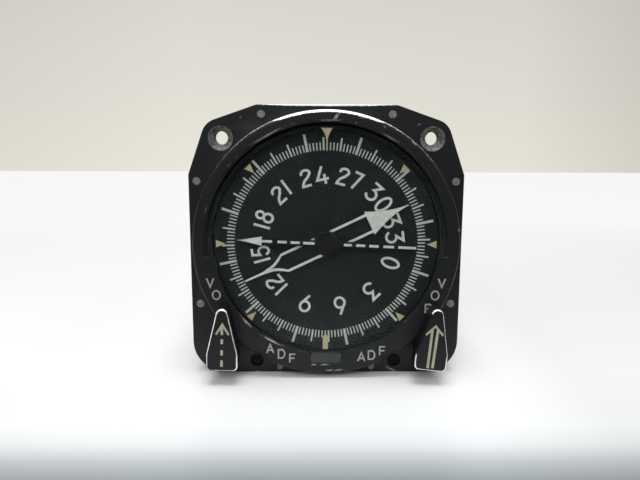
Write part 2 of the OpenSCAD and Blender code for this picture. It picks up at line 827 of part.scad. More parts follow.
module single_rotor() color(steel) front() rotor(2, single_gear_z);

// Points of a hollow curve from [w0, y0] to [w1, y1]
function hollow(w0, y0, w1, y1) =
    [for (i = [0 : 6]) let (t = i / 6) [w1 + (w0 - w1) * pow(1 - t, 1.7), y0 + (y1 - y0) * t]];

// A closed outline from the points of its right half, listed from the top down
function both_halves(right) =
    concat(right, [for (i = [len(right) - 1 : -1 : 0]) [-right[i][0], right[i][1]]]);

pointer_tip_w = 0.24;
tail_bend_r = 14;
tail_join_r = 19.6;
tail_bar_w = 1.3;

// The double pointer, drawn pointing up: two bars, a broad head with hollow sides and a forked tail
module double_outline() {
    out = bar_pitch / 2 + bar_w / 2;
    in = bar_pitch / 2 - bar_w / 2;
    base = pointer_r - double_head_l;
    head = hollow(double_head_w / 2, base, pointer_tip_w / 2, pointer_r);
    difference() {
        polygon(both_halves(concat(
            [for (i = [len(head) - 1 : -1 : 0]) head[i]], [[out, base]],
            hollow(out, -tail_bend_r, tail_bar_w / 2, -tail_join_r), [[tail_bar_w / 2, -pointer_r]])));
        polygon(both_halves(concat([[in, base]], hollow(in, -tail_bend_r, 0.01, bar_w - tail_join_r))));
    }
}

// The pointer's sheet is riveted to a slightly thicker disc, which sits on the tube's end
module double_pointer() color("#a7adab") front() rotate([0, 0, -double_bearing]) difference() {
    union() {
        translate([0, 0, double_back]) linear_extrude(pointer_t) double_outline();
        bar(double_back - disc_proud, double_front + disc_proud, pointer_hub_r);
    }
    through(double_back, pointer_t, tube_r + seat_gap);
}

module double_pointer_tube() color(steel) front()
    tube(double_gear_z - 0.5, double_front + disc_proud, tube_r, tube_in_r);

// The single pointer, drawn pointing up: a plain blade with an arrow head and a rounded tail
module single_outline() {
    base = pointer_r - single_head_l;
    translate([-single_w / 2, -pointer_r + single_w / 2]) square([single_w, base + pointer_r]);
    translate([0, -pointer_r + single_w / 2]) circle(r = single_w / 2);
    polygon(both_halves([[pointer_tip_w / 2, pointer_r], [single_head_w / 2, base]]));
    circle(r = pointer_hub_r);
}

module single_pointer() color("#a7adab") front() rotate([0, 0, -single_bearing])
    translate([0, 0, single_back]) linear_extrude(pointer_t) difference() {
        single_outline();
        circle(r = shaft_r + seat_gap);
    }

module single_pointer_shaft() color(steel) front() bar(middle_back, single_front, shaft_r);

module pointer_cap() color(black_paint) front() tube(single_front, single_front + cap_t, pointer_hub_r - 0.3);

knob_corner_r = 1.5;
knob_shoulder_r = 2.2;
knob_edge = 0.45;
knob_shaft_in = 4;

// One round corner of a knob, with the chamfer of its front edge
module knob_corner(x, y, r) {
    edge_z = knob_back + knob_t - knob_edge;
    bar(knob_back, edge_z, r, x, y, $fn = 32);
    translate([x, y, edge_z]) cylinder(h = knob_edge, r1 = r, r2 = r - knob_edge, $fn = 32);
}

// A teardrop knob that points up before it leans, with its axis at the origin
module knob(lean) {
    half = knob_w / 2;
    rotate([0, 0, -lean]) difference() {
        hull() {
            knob_corner(0, knob_tip - knob_tip_r, knob_tip_r);
            for (side = [-1, 1]) {
                knob_corner(side * (half - knob_shoulder_r), 0, knob_shoulder_r);
                knob_corner(side * (half - knob_corner_r), knob_corner_r - half, knob_corner_r);
            }
        }
        bar(knob_back - 1, knob_back + knob_shaft_in, knob_shaft_r + seat_gap);
        // Set screw's hole, from the round end to the shaft
        at_set_screw() bar(0, knob_w, set_screw_r + seat_gap);
    }
}

set_screw_r = 0.8;

module at_set_screw() {
    translate([0, 0, knob_back + 2.5]) rotate([90, 0, 0]) children();
}

module set_screw(lean) {
    rotate([0, 0, -lean]) at_set_screw() bar(knob_shaft_r + seat_gap, knob_w / 2 - 0.4, set_screw_r);
}

// A knob's shaft with the pinion that drives the switch; phase sets the teeth against the switch's gear
module knob_shaft(side) {
    towards_switch = atan2(knob_drop, -side * knob_side);
    bar(lobe_back - lobe_cover_t, knob_back + knob_shaft_in, knob_shaft_r);
    pinion_shaft(selector_teeth, selector_gear_z, selector_gear_t, towards_switch);
}

module switch_rotor(side) {
    towards_knob = atan2(-knob_drop, side * knob_side);
    rotate([0, 0, towards_knob]) translate([0, 0, selector_gear_z]) linear_extrude(selector_gear_t)
        polygon(gear_points(selector_teeth));
    bar(plate_back - switch_shaft_l, selector_gear_z + selector_gear_t + 0.3, rotor_shaft_r);
}

module at_left_knob() {
    translate([-knob_side, -knob_drop, 0]) children();
}

module left_knob() color(black_paint) front() at_left_knob() knob(left_lean);

module left_knob_shaft() color(steel) front() at_left_knob() knob_shaft(-1);

module left_set_screw() color(steel) front() at_left_knob() set_screw(left_lean);

module right_knob() color(black_paint) front() at_knob() knob(right_lean);

module right_knob_shaft() color(steel) front() at_knob() knob_shaft(1);

module right_set_screw() color(steel) front() at_knob() set_screw(right_lean);

module left_switch_rotor() color(steel) front() translate([-switch_side, -switch_drop, 0]) switch_rotor(-1);

module right_switch_rotor() color(steel) front() at_switch() switch_rotor(1);

bezel_casting();
flange_pins();
knob_bushings();
gear_covers();
gear_cover_screws();
glass_gasket();
cover_glass();
glass_spacer();
dial_mask();
lamp_cover();
lamp();
lamp_holder();
case_can();
case_screws();
mechanism_screws();
rear_cover();
rear_cover_screws();
connector_shell();
connector_gasket();
connector_insert();
connector_pins();
connector_screws();
front_plate();
middle_plate();
rear_plate();
plate_posts();
plate_screws();
card_bearing();
pointer_bearing();
heading_synchro();
pointer_synchros();
synchro_clamps();
synchro_terminals();
amplifier_board();
amplifier_parts();
board_standoffs();
wiring_loom();
selector_switches();
compass_card();
card_hub();
card_screws();
card_gear();
double_pointer();
double_pointer_tube();
double_pointer_gear();
single_pointer();
single_pointer_shaft();
single_pointer_gear();
pointer_cap();
heading_rotor();
double_rotor();
single_rotor();
left_knob();
left_knob_shaft();
left_set_screw();
right_knob();
right_knob_shaft();
right_set_screw();
left_switch_rotor();
right_switch_rotor();
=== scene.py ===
# %% [markdown]
# # A radio magnetic indicator on a table
# This aircraft instrument shows the heading on a card that turns, and the bearings of two radio beacons
# with two pointers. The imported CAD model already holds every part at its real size. This script gives
# the parts their finishes, adds the printed marks, the screw slots and the wear of years in a panel, and
# sets the table, the light and the camera.

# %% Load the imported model
import math

import bmesh
import bpy
from mathutils import Matrix, Vector


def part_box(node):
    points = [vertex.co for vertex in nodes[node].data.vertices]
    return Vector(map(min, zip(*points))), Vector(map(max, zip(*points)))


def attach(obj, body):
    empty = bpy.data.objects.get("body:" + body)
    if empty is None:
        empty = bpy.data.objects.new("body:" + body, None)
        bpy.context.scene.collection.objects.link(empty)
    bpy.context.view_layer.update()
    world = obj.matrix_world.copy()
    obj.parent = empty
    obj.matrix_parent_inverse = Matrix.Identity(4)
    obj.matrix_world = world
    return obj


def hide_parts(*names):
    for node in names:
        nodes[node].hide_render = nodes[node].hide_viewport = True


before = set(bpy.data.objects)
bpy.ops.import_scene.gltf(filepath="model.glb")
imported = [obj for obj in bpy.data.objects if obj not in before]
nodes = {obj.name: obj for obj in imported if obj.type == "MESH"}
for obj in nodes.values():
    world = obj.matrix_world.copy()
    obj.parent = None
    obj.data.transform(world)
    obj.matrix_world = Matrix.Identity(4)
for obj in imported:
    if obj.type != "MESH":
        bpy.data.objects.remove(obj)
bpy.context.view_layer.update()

# %% [markdown]
# ## Lengths and directions
# The CAD model is in metres, with the dial looking along -Y. Marks on a face are easier to think of as
# the pilot sees them, in millimetres: x to the right, y up and p towards the eye. One function turns such
# a point into the model's own axes, and another reads from the CAD how far forward a part's face lies, so
# that every mark sits on the part that carries it.

# %% Millimetres on the face
MM = 0.001
BACKWARD, FORWARD = (0, 1, 0), (0, -1, 0)


def front(x, y, p):
    """A point as the pilot sees it, in mm: x right, y up, p towards the eye."""
    return Vector((x, -p, y)) * MM


def around(radius, degrees):
    """The x and y of a point on the dial, by its radius and its clockwise angle from the top."""
    a = math.radians(degrees)
    return radius * math.sin(a), radius * math.cos(a)


def turned_outline(points, degrees):
    """Points given as aside and outward, turned clockwise to a place on the dial."""
    a = math.radians(degrees)
    return [(u * math.cos(a) + v * math.sin(a), v * math.cos(a) - u * math.sin(a)) for u, v in points]


def face_of(node):
    """How far a CAD node reaches towards the eye, in mm."""
    return -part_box(node)[0].y / MM


RING_FACE = face_of("bezel_casting")
CARD_FACE = face_of("compass_card")
KNOB_FACE = face_of("left_knob")
print("ring face", round(RING_FACE, 2), "card", round(CARD_FACE, 2), "knobs", round(KNOB_FACE, 2))

# %% [markdown]
# ## The camera
# The photograph is taken from about 19 cm in front of the dial and 4 cm above it, looking down at ten
# degrees. A camera can be aimed with a constraint, but writing its three directions down gives the exact
# view each time, with the small yaw and roll of a hand-held camera.

# %% Camera
# The angles are in radians, and the eye's place in metres
YAW, PITCH, ROLL = 0.0130, 0.1769, 0.0041
EYE = Vector((-0.004396, -0.191574, 0.035189))

ahead = Vector((math.sin(YAW) * math.cos(PITCH), math.cos(YAW) * math.cos(PITCH), -math.sin(PITCH)))
level = Vector((math.cos(YAW), -math.sin(YAW), 0))
upright = level.cross(ahead)
right = math.cos(ROLL) * level + math.sin(ROLL) * upright
up = math.cos(ROLL) * upright - math.sin(ROLL) * level

camera_data = bpy.data.cameras.new("camera")
# The lens is as long as the sensor is wide
camera_data.sensor_width = 36
camera_data.lens = 36
camera_data.clip_start = 0.01
camera = bpy.data.objects.new("camera", camera_data)
camera.matrix_world = Matrix.Translation(EYE) @ Matrix((right, up, -ahead)).transposed().to_4x4()
bpy.context.scene.collection.objects.link(camera)
bpy.context.scene.camera = camera
print("camera looks along", [round(v, 3) for v in ahead])

# %% [markdown]
# ## Adding nodes
# Every material and every Geometry Nodes tree below is built with one helper. It makes a node, sets its
# settings, and either links an input to another node or writes a value into it. Inputs go by their names,
# or by their numbers where a name is used twice: 6 and 7 are the two colours of a Mix node. Colours are
# written as they look on a screen, and one function turns them into the linear values that Blender uses.

# %% One helper for nodes, and colours
def add(tree, kind, inputs=None, **settings):
    """Adds one node with its settings; an input given as a node or as a socket is linked."""
    node = tree.nodes.new(kind)
    for name, value in settings.items():
        setattr(node, name, value)
    for key, value in (inputs or {}).items():
        if isinstance(value, bpy.types.Node):
            value = value.outputs[0]
        if isinstance(value, bpy.types.NodeSocket):
            tree.links.new(value, node.inputs[key])
        else:
            node.inputs[key].default_value = value
    return node


def linear(colour):
    """An sRGB hex colour as linear red, green and blue, with an alpha of 1."""
    parts = [int(colour[i:i + 2], 16) / 255 for i in (1, 3, 5)]
    return [c / 12.92 if c <= 0.04045 else ((c + 0.055) / 1.055) ** 2.4 for c in parts] + [1.0]


def set_stops(ramp, stops):
    """Gives a colour ramp its stops, each a place from 0 to 1 and a linear colour."""
    steps = ramp.color_ramp.elements
    for place, colour in stops[1:-1]:
        steps.new(place).color = colour
    steps[0].position, steps[0].color = stops[0]
    steps[-1].position, steps[-1].color = stops[-1]


print("black is", linear("#000000"), "and white is", linear("#FFFFFF"))

# %% [markdown]
# A material starts from a colour, a roughness and a place in millimetres, so that each pattern can have
# its real size. Two more functions give what nearly every surface has: a fine grain, which changes the
# gloss and raises the surface a little, and slow clouds of colour.

# %% A finish, its grain and its clouds
# Nearly all values of a noise lie between these
NOISE_LOW, NOISE_HIGH = 0.3, 0.7


def finish(name, colour, roughness, metallic=0.0, **sockets):
    """A new material, its tree, its shader, and the place on the piece in mm."""
    made = bpy.data.materials.new(name)
    made.use_nodes = True
    tree = made.node_tree
    shader = tree.nodes["Principled BSDF"]
    shader.inputs["Base Color"].default_value = linear(colour)
    shader.inputs["Roughness"].default_value = roughness
    shader.inputs["Metallic"].default_value = metallic
    for key, value in sockets.items():
        shader.inputs[key.replace("_", " ")].default_value = value
    place = add(tree, "ShaderNodeTexCoord").outputs["Object"]
    mm = add(tree, "ShaderNodeVectorMath", {0: place, "Scale": 1 / MM}, operation="SCALE").outputs[0]
    return made, tree, shader, mm


def grain(tree, shader, mm, size, depth, dull, shiny):
    """Grain of one size, in mm: it changes the roughness and raises a bump of the given depth, in mm."""
    noise = add(tree, "ShaderNodeTexNoise", {"Vector": mm, "Scale": 1 / size, "Detail": 4.0})
    rough = add(tree, "ShaderNodeMapRange", {
        "Value": noise, "From Min": NOISE_LOW, "From Max": NOISE_HIGH, "To Min": shiny, "To Max": dull})
    bump = add(tree, "ShaderNodeBump", {"Height": noise, "Distance": depth * MM})
    tree.links.new(rough.outputs[0], shader.inputs["Roughness"])
    tree.links.new(bump.outputs[0], shader.inputs["Normal"])


def cloud(tree, shader, mm, size, *colours):
    """Slow changes of colour across a surface: a noise of the given size runs through the colours."""
    noise = add(tree, "ShaderNodeTexNoise", {"Vector": mm, "Scale": 1 / size, "Detail": 3.0})
    ramp = add(tree, "ShaderNodeValToRGB", {"Fac": noise})
    apart = (NOISE_HIGH - NOISE_LOW) / (len(colours) - 1)
    set_stops(ramp, [(NOISE_LOW + apart * i, linear(colour)) for i, colour in enumerate(colours)])
    tree.links.new(ramp.outputs[0], shader.inputs["Base Color"])
    return ramp


print("a finish has a place in mm, a grain and clouds")

# %% [markdown]
# A finished mesh becomes a piece by riding on one of the CAD's bodies, so that it moves with its joint.
# The CAD's meshes are loose triangles, and a copy of one is merged before it is changed.

# %% From a mesh to a piece
# Corners nearer than this, in mm, are one corner
WELD = 0.002


def mesh_of(bm, name):
    """Turns a bmesh into a mesh and frees it."""
    mesh = bpy.data.meshes.new(name)
    bm.to_mesh(mesh)
    bm.free()
    return mesh


def merged_copy(node):
    """A copy of a CAD node's mesh, as a bmesh with its triangles joined."""
    bm = bmesh.new()
    bm.from_mesh(nodes[node].data)
    bmesh.ops.remove_doubles(bm, verts=bm.verts, dist=WELD * MM)
    return bm


def piece_from(name, mesh, material, body):
    """Keeps a finished mesh as a piece that rides on a CAD body."""
    mesh.materials.clear()
    mesh.materials.append(material)
    piece = bpy.data.objects.new(name, mesh)
    bpy.context.scene.collection.objects.link(piece)
    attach(piece, body)
    print(name, len(mesh.polygons), "faces")
    return piece


def applied(holder):
    """The mesh that an object's modifier makes; the object itself goes."""
    bpy.context.scene.collection.objects.link(holder)
    bpy.context.view_layer.update()
    mesh = bpy.data.meshes.new_from_object(holder.evaluated_get(bpy.context.evaluated_depsgraph_get()))
    bpy.data.objects.remove(holder)
    return mesh


print("corners within", WELD, "mm are merged")

# %% [markdown]
# ## The table and the wall
# The instrument stands on a white table top in front of a pale wall. The table is one flat plate whose
# far edge shows as the line between white and cream. Towards the camera a bluish grey shade is painted
# into its colour, and its sides are painted a little darker. The wall is far away, so it is a plane that
# shows its own colour and takes no shadow.

# %% Colours that change along an axis
def ramp_along(tree, place, axis, stops, span=None):
    """A colour that runs through its stops, each a place on one axis and a linear colour."""
    first, last = span or (stops[0][0], stops[-1][0])
    share = add(tree, "ShaderNodeMapRange", {
        "Value": place.outputs[axis], "From Min": first, "From Max": last})
    ramp = add(tree, "ShaderNodeValToRGB", {"Fac": share})
    set_stops(ramp, [((value - first) / (last - first), colour) for value, colour in stops])
    return ramp


# The table's painted shade at places in mm along Y, and the share of painted light along X
TABLE_PAINTED_SHADE = ((-200, "#222529"), (-120, "#26292C"), (-90, "#424649"), (-63, "#878D90"), (-55, "#ADB2B4"),
                (-47, "#D6D9DA"), (-37, "#E7E8E8"), (0, "#EFEFEF"))
TABLE_SIDES = ((-90, 0.9), (-66, 0.95), (-42, 0.98), (38, 1.0), (76, 0.83))
TABLE_SIDES_SPAN = (-100, 100)
# The wall's colours, painted light and shade, at heights and at places across, in metres
WALL_SHADES = ((-0.1, "#EAE8DC"), (0.42, "#D7D4CD"))
WALL_SIDES = ((-0.9, "#F2F2F2"), (-0.324, "#FFFFFF"), (0.54, "#FAFAFA"), (0.9, "#E6E6E5"))
print(len(TABLE_PAINTED_SHADE), "shades of the table")

# %% Table top
FLOOR_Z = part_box("bezel_casting")[0].z
TABLE_NEAR, TABLE_FAR, TABLE_HALF = -0.9, 0.886, 1.6
# Where the table begins to show its own white, where it has reached it, and how much of it, in mm
OWN_WHITE_FROM, OWN_WHITE_TO, OWN_WHITE = 90, 320, 0.9

# White laminate is smooth and half glossy, so the instrument stands in a blurred reflection of itself
table_paint, tree, shader, mm = finish("white_laminate_table", "#F4F5F7", 0.32)
along = add(tree, "ShaderNodeSeparateXYZ", {0: mm})
# The table's colour carries painted shade, darker towards the camera and at the sides
shade = ramp_along(tree, along, "Y", [(y, linear(colour)) for y, colour in TABLE_PAINTED_SHADE])
across = ramp_along(tree, along, "X", [(x, (part, part, part, 1)) for x, part in TABLE_SIDES],
                    TABLE_SIDES_SPAN)
painted_table_shade = add(tree, "ShaderNodeVectorMath", {0: shade, 1: across}, operation="MULTIPLY")
tree.links.new(painted_table_shade.outputs[0], shader.inputs["Base Color"])
# Far from the lamps the table shows its own white, and only to the camera
rays = add(tree, "ShaderNodeLightPath")
far = add(tree, "ShaderNodeMapRange", {
    "Value": along.outputs["Y"], "From Min": OWN_WHITE_FROM, "From Max": OWN_WHITE_TO, "To Max": OWN_WHITE})
share = add(tree, "ShaderNodeMath", {0: far, 1: rays.outputs["Is Camera Ray"]}, operation="MULTIPLY")
white = add(tree, "ShaderNodeEmission", {"Color": linear("#FAFAFA")})
mixed = add(tree, "ShaderNodeMixShader", {0: share, 1: shader, 2: white})
tree.links.new(mixed.outputs[0], tree.nodes["Material Output"].inputs["Surface"])

bm = bmesh.new()
bmesh.ops.create_grid(bm, x_segments=1, y_segments=1, size=1)
middle = (TABLE_FAR + TABLE_NEAR) / 2
spread = Matrix.Diagonal((TABLE_HALF, TABLE_FAR - middle, 1, 1))
bm.transform(Matrix.Translation((0, middle, FLOOR_Z)) @ spread)
mesh = mesh_of(bm, "table_top")
mesh.materials.append(table_paint)
table = bpy.data.objects.new("table_top", mesh)
print("table top at z", round(FLOOR_Z / MM, 2), "mm")

# %% [markdown]
# The wall only gives off light of its own colour. It is a plain emission, the product of a colour that
# changes upward and one that changes across, so no lamp has to reach it.

# %% Wall
WALL_Y, WALL_HALF, WALL_FOOT, WALL_TOP = 1.5, 3.0, -0.4, 1.6

# Matt cream wall paint, shown as its own colour; its changes upward and across are painted light and shade
wall_paint = bpy.data.materials.new("cream_painted_wall")
wall_paint.use_nodes = True
tree = wall_paint.node_tree
tree.nodes.clear()
parts = add(tree, "ShaderNodeSeparateXYZ", {0: add(tree, "ShaderNodeTexCoord").outputs["Object"]})
upward = ramp_along(tree, parts, "Z", [(z, linear(colour)) for z, colour in WALL_SHADES])
across = ramp_along(tree, parts, "X", [(x, linear(colour)) for x, colour in WALL_SIDES])
both = add(tree, "ShaderNodeMix", {"Factor": 1.0, 6: upward, 7: across},
           data_type="RGBA", blend_type="MULTIPLY")
glow = add(tree, "ShaderNodeEmission", {"Color": both.outputs[2]})
add(tree, "ShaderNodeOutputMaterial", {"Surface": glow})

mesh = bpy.data.meshes.new("wall")
mesh.from_pydata([(-WALL_HALF, WALL_Y, WALL_FOOT), (WALL_HALF, WALL_Y, WALL_FOOT),
                  (WALL_HALF, WALL_Y, WALL_TOP), (-WALL_HALF, WALL_Y, WALL_TOP)], [], [(0, 1, 2, 3)])
mesh.materials.append(wall_paint)
wall = bpy.data.objects.new("wall", mesh)
for backdrop in (table, wall):
    bpy.context.scene.collection.objects.link(backdrop)
print("wall", WALL_Y, "m behind the flange")

# %% [markdown]
# ## Light
# The room has wide ceiling lights, so the shadows are soft and stay close to the instrument. One wide
# lamp overhead and a weaker one in front do the same. The world stands for the rest of the room, pale
# above and dim towards the floor, which keeps the black finishes black.

# %% Lamps and world
def lamp(name, size, power, place, target):
    """A square soft lamp that looks from one point to another, in metres."""
    light = bpy.data.lights.new(name, "AREA")
    light.size = size
    light.energy = power
    holder = bpy.data.objects.new(name, light)
    holder.location = place
    holder.rotation_euler = (Vector(target) - Vector(place)).to_track_quat("-Z", "Y").to_euler()
    bpy.context.scene.collection.objects.link(holder)


lamp("ceiling_light", 0.6, 7.3, (0, -0.1, 1.0), (0, 0, 0))
lamp("front_light", 0.5, 5.0, (-0.1, -0.9, 0.6), (0, 0, 0))
world = bpy.data.worlds.new("room")
world.use_nodes = True
sky = world.node_tree
way = add(sky, "ShaderNodeSeparateXYZ", {0: add(sky, "ShaderNodeTexCoord").outputs["Generated"]})
shade = ramp_along(sky, way, "Z", [(-0.1, linear("#5E6062")), (0.8, linear("#D9DCDF"))])
sky.links.new(shade.outputs[0], sky.nodes["Background"].inputs["Color"])
bpy.context.scene.world = world
bpy.context.scene.view_settings.view_transform = "Standard"
print("two lamps and a room that is pale above")

# %% [markdown]
# ## Worn black enamel
# The front casting is aluminium under a satin black enamel. Hands, tools and the panel have rubbed the
# enamel through: over the top of the ring, at the edges, in the countersinks and in small chips. The
# material measures how far each point lies inside a worn place, in millimetres, and a noise makes the
# border ragged. Where the value is positive the bare metal shows, and a thin line of primer round it.
# Some of this is painted light: the bare metal over the ring's top is painted near white, a painted
# highlight, and so is a place on the flange's top edge; a thin line on the ring's rim is a painted
# reflection, and the ring's chips are painted brighter than the flange's. The functions below each give
# some of these values.

# %% Chips and bare countersinks
# Each chip is x, y, p, then half its length, half its width and its turn in degrees
CHIPS = [
    (2.5, 37.6, 5.5, 1.3, 0.36, 53), (0.8, 36.75, 5.5, 2.0, 0.16, 0), (-17.2, 32.35, 5.5, 4.1, 0.3, 29),
    (18.2, 31.8, 5.5, 2.1, 0.22, -28), (8.2, 36.0, 5.5, 0.22, 0.18, 0), (9.6, 37.7, 5.5, 0.6, 0.16, -20),
    (16.5, 34.9, 5.5, 0.3, 0.16, -25), (25.0, 30.4, 5.4, 0.6, 0.25, -50), (37.1, 9.4, 3.0, 0.25, 0.25, 0),
    (38.9, 10.3, 5.4, 0.25, 0.16, 0), (39.1, 4.9, 5.3, 0.25, 0.2, 90), (-25.4, 37.4, 0, 0.22, 0.16, 30),
    (27.2, 35.6, 0, 0.35, 0.2, 50), (-24.1, -23.3, 5.4, 1.6, 0.26, -46), (-16.6, -29.15, 5.4, 2.4, 0.24, -29),
    (-30.9, -11.8, 5.5, 0.7, 0.1, -65), (-3.65, -36.8, 5.5, 0.65, 0.2, 0), (-0.4, -36.8, 5.5, 0.9, 0.2, 0),
    (1.1, -38.6, 5.4, 0.8, 0.16, 3), (4.0, -38.5, 5.4, 1.0, 0.16, 6), (20.6, -40.4, 0, 1.6, 0.25, -25),
    # The last two run along the flange's top edge and paint part of its bright line, a painted highlight, as
    # bare metal
    (-21.5, -41.1, 0, 0.7, 0.12, 10), (-7.0, 41.27, 0, 12.0, 0.3, 0), (9.0, 41.27, 0, 6.0, 0.2, 0),
]
# A chip is an ellipsoid, and this is half its depth in mm
CHIP_DEPTH = 0.8
HOLES = [(-31.43, 31.43), (31.43, 31.43)]
# A countersink is bare out to just past its rim
SINK_BARE = 3.65


def chip_fields(tree, mm):
    """How far a point lies inside each chip, an ellipsoid, in mm."""
    fields = []
    for x, y, p, half_length, half_width, turn in CHIPS:
        local = add(tree, "ShaderNodeMapping", {
            "Vector": mm, "Location": (x, -p, y), "Rotation": (0, -math.radians(turn), 0),
            "Scale": (half_length, CHIP_DEPTH, half_width)}, vector_type="TEXTURE")
        away = add(tree, "ShaderNodeVectorMath", {0: local}, operation="LENGTH").outputs["Value"]
        fields.append(add(tree, "ShaderNodeMath", {0: away, 1: -half_width, 2: half_width},
                          operation="MULTIPLY_ADD"))
    return fields


def sink_fields(tree, flat):
    """How far a point lies inside each bare countersink, in mm."""
    fields = []
    for x, y in HOLES:
        gap = add(tree, "ShaderNodeVectorMath", {0: flat, 1: (x, 0, y)}, operation="DISTANCE")
        fields.append(add(tree, "ShaderNodeMath", {0: SINK_BARE, 1: gap.outputs["Value"]},
                          operation="SUBTRACT"))
    return fields


print(len(CHIPS), "chips and", len(HOLES), "bare countersinks")

# %% [markdown]
# The ring is bare over its top, where it is gripped and wiped, and that bare metal is painted near
# white, a painted highlight. The bare arc has a middle, in radians from the top, a half length, an inner
# radius and a height over the flange. Beyond its ends it tapers, and patches of paint break it up. A thin
# line of painted reflection runs further round, along the ring's outer edge, laid in as bare metal.

# %% Rubbed ring
ARC_MIDDLE, ARC_HALF, ARC_INNER, ARC_LOWEST = 0.02, 0.34, 39.08, 3.9
# The arc gets narrower by this many mm for each radian past its ends
ARC_TAPER = 3.0
# The rim line, a painted reflection laid in as bare metal, begins at this radius; how far it reaches
# inside at the arc's middle, what it loses for each radian from there, and the most that counts, in mm
RIM_RADIUS, RIM_WIDTH, RIM_LOSS, RIM_MOST = 39.6, 0.42, 0.55, 0.04


def ring_fields(tree, flat, axes, slow):
    """How far a point lies inside the ring's bare arc, and inside the painted reflection line on its rim, in
    mm.
    """
    radius = add(tree, "ShaderNodeVectorMath", {0: flat}, operation="LENGTH").outputs["Value"]
    turn = add(tree, "ShaderNodeMath", {0: axes.outputs["X"], 1: axes.outputs["Z"]}, operation="ARCTAN2")
    off = add(tree, "ShaderNodeMath", {0: turn, 1: ARC_MIDDLE}, operation="SUBTRACT")
    off = add(tree, "ShaderNodeMath", {0: off}, operation="ABSOLUTE")
    past = add(tree, "ShaderNodeMath", {0: off, 1: ARC_HALF}, operation="SUBTRACT")
    past = add(tree, "ShaderNodeMath", {0: past, 1: 0.0}, operation="MAXIMUM")
    edge = add(tree, "ShaderNodeMath", {0: past, 1: -ARC_TAPER, 2: -ARC_INNER}, operation="MULTIPLY_ADD")
    band = add(tree, "ShaderNodeMath", {0: radius, 1: edge}, operation="ADD")
    raised = add(tree, "ShaderNodeMath", {0: axes.outputs["Y"], 1: -1.0, 2: -ARC_LOWEST},
                 operation="MULTIPLY_ADD")
    bare = add(tree, "ShaderNodeMath", {0: band, 1: raised}, operation="MINIMUM")
    kept = add(tree, "ShaderNodeMapRange", {"Value": slow, "From Min": 0.45, "From Max": 0.6})
    ends = add(tree, "ShaderNodeMapRange", {"Value": off, "From Min": 0.33, "From Max": 0.5, "To Max": 0.6})
    kept = add(tree, "ShaderNodeMath", {0: kept, 1: ends}, operation="MULTIPLY")
    bare = add(tree, "ShaderNodeMath", {0: bare, 1: kept}, operation="SUBTRACT")
    rim = add(tree, "ShaderNodeMath", {0: off, 1: -RIM_LOSS, 2: RIM_WIDTH}, operation="MULTIPLY_ADD")
    outer = add(tree, "ShaderNodeMath", {0: radius, 1: RIM_RADIUS}, operation="SUBTRACT")
    for bound in (RIM_MOST, outer, raised):
        rim = add(tree, "ShaderNodeMath", {0: rim, 1: bound}, operation="MINIMUM")
    return bare, rim


print("bare arc of", round(math.degrees(2 * ARC_HALF)), "degrees")

# %% [markdown]
# The flange's top edge has a painted highlight in its middle, near-white metal laid along it. All other
# edges have lost their paint in places. They are known by an attribute that the bevels below carry.

# %% Painted highlight on the top edge, and rubbed edges of the flange
# Half the length, depth and height of the painted highlight on the flange's top edge, and its height, in mm
TOP_HIGHLIGHT_SIZE, TOP_HIGHLIGHT_HEIGHT = (20, 1.2, 0.45), 41.3


def top_edge_highlight(tree, mm):
    """How far a point lies inside the painted highlight on the top edge, as a share of its size."""
    local = add(tree, "ShaderNodeMapping", {
        "Vector": mm, "Location": (0, 0, TOP_HIGHLIGHT_HEIGHT), "Scale": TOP_HIGHLIGHT_SIZE}, vector_type="TEXTURE")
    away = add(tree, "ShaderNodeVectorMath", {0: local}, operation="LENGTH").outputs["Value"]
    return add(tree, "ShaderNodeMath", {0: away, 1: -0.5, 2: 0.5}, operation="MULTIPLY_ADD")


def edge_field(tree, slow):
    """Patches along the bevelled edges; elsewhere the value is far below zero."""
    bevel = add(tree, "ShaderNodeAttribute", attribute_name="edge")
    flag = add(tree, "ShaderNodeMath", {0: bevel.outputs["Fac"], 1: 1.0}, operation="SUBTRACT")
    patch = add(tree, "ShaderNodeMapRange", {
        "Value": slow, "From Min": 0.50, "From Max": 0.75, "To Min": -0.25, "To Max": 0.1})
    return add(tree, "ShaderNodeMath", {0: patch, 1: flag}, operation="ADD")


print("bright top edge", 2 * TOP_HIGHLIGHT_SIZE[0], "mm long")

# %% [markdown]
# Bare metal isn't one colour. It is near white where hands rub the ring, with a painted highlight, and
# a dull oxidised grey in the chips. Chips on the ring are painted brighter than those of the flange
# behind it, a painted highlight for their glints.

# %% Colour of the bare metal
# The bright metal is near white, a painted highlight on rubbed metal
OXIDE_DARK, OXIDE_PALE, BRIGHT_METAL_HIGHLIGHT = "#454442", "#84827D", "#FDFDFA"
# The oxide's blotches are 0.9 mm wide
BLOTCHES_PER_MM = 1.1
# From the first to the second of these places along Y, in mm, the oxide is painted brighter by the
# factor, a painted highlight on the ring
GLINT_BACK, GLINT_FRONT, GLINT_GAIN = -1.5, -4.5, 2.1


def bare_metal(tree, mm, axes, rubbed):
    """The colour of the metal: blotchy oxide, painted brighter on the ring, or near-white metal, a painted
    highlight, as far as it is rubbed.
    """
    blotch = add(tree, "ShaderNodeTexNoise", {"Vector": mm, "Scale": BLOTCHES_PER_MM, "Detail": 4.0})
    oxide = add(tree, "ShaderNodeValToRGB", {"Fac": blotch})
    set_stops(oxide, [(0.35, linear(OXIDE_DARK)), (0.65, linear(OXIDE_PALE))])
    gain = add(tree, "ShaderNodeMapRange", {
        "Value": axes.outputs["Y"], "From Min": GLINT_BACK, "From Max": GLINT_FRONT,
        "To Min": 1.0, "To Max": GLINT_GAIN})
    lit = add(tree, "ShaderNodeVectorMath", {0: oxide, "Scale": gain}, operation="SCALE")
    mixed = add(tree, "ShaderNodeMix", {
        "Factor": rubbed, 6: lit, 7: linear(BRIGHT_METAL_HIGHLIGHT)}, data_type="RGBA")
    return mixed.outputs[2]


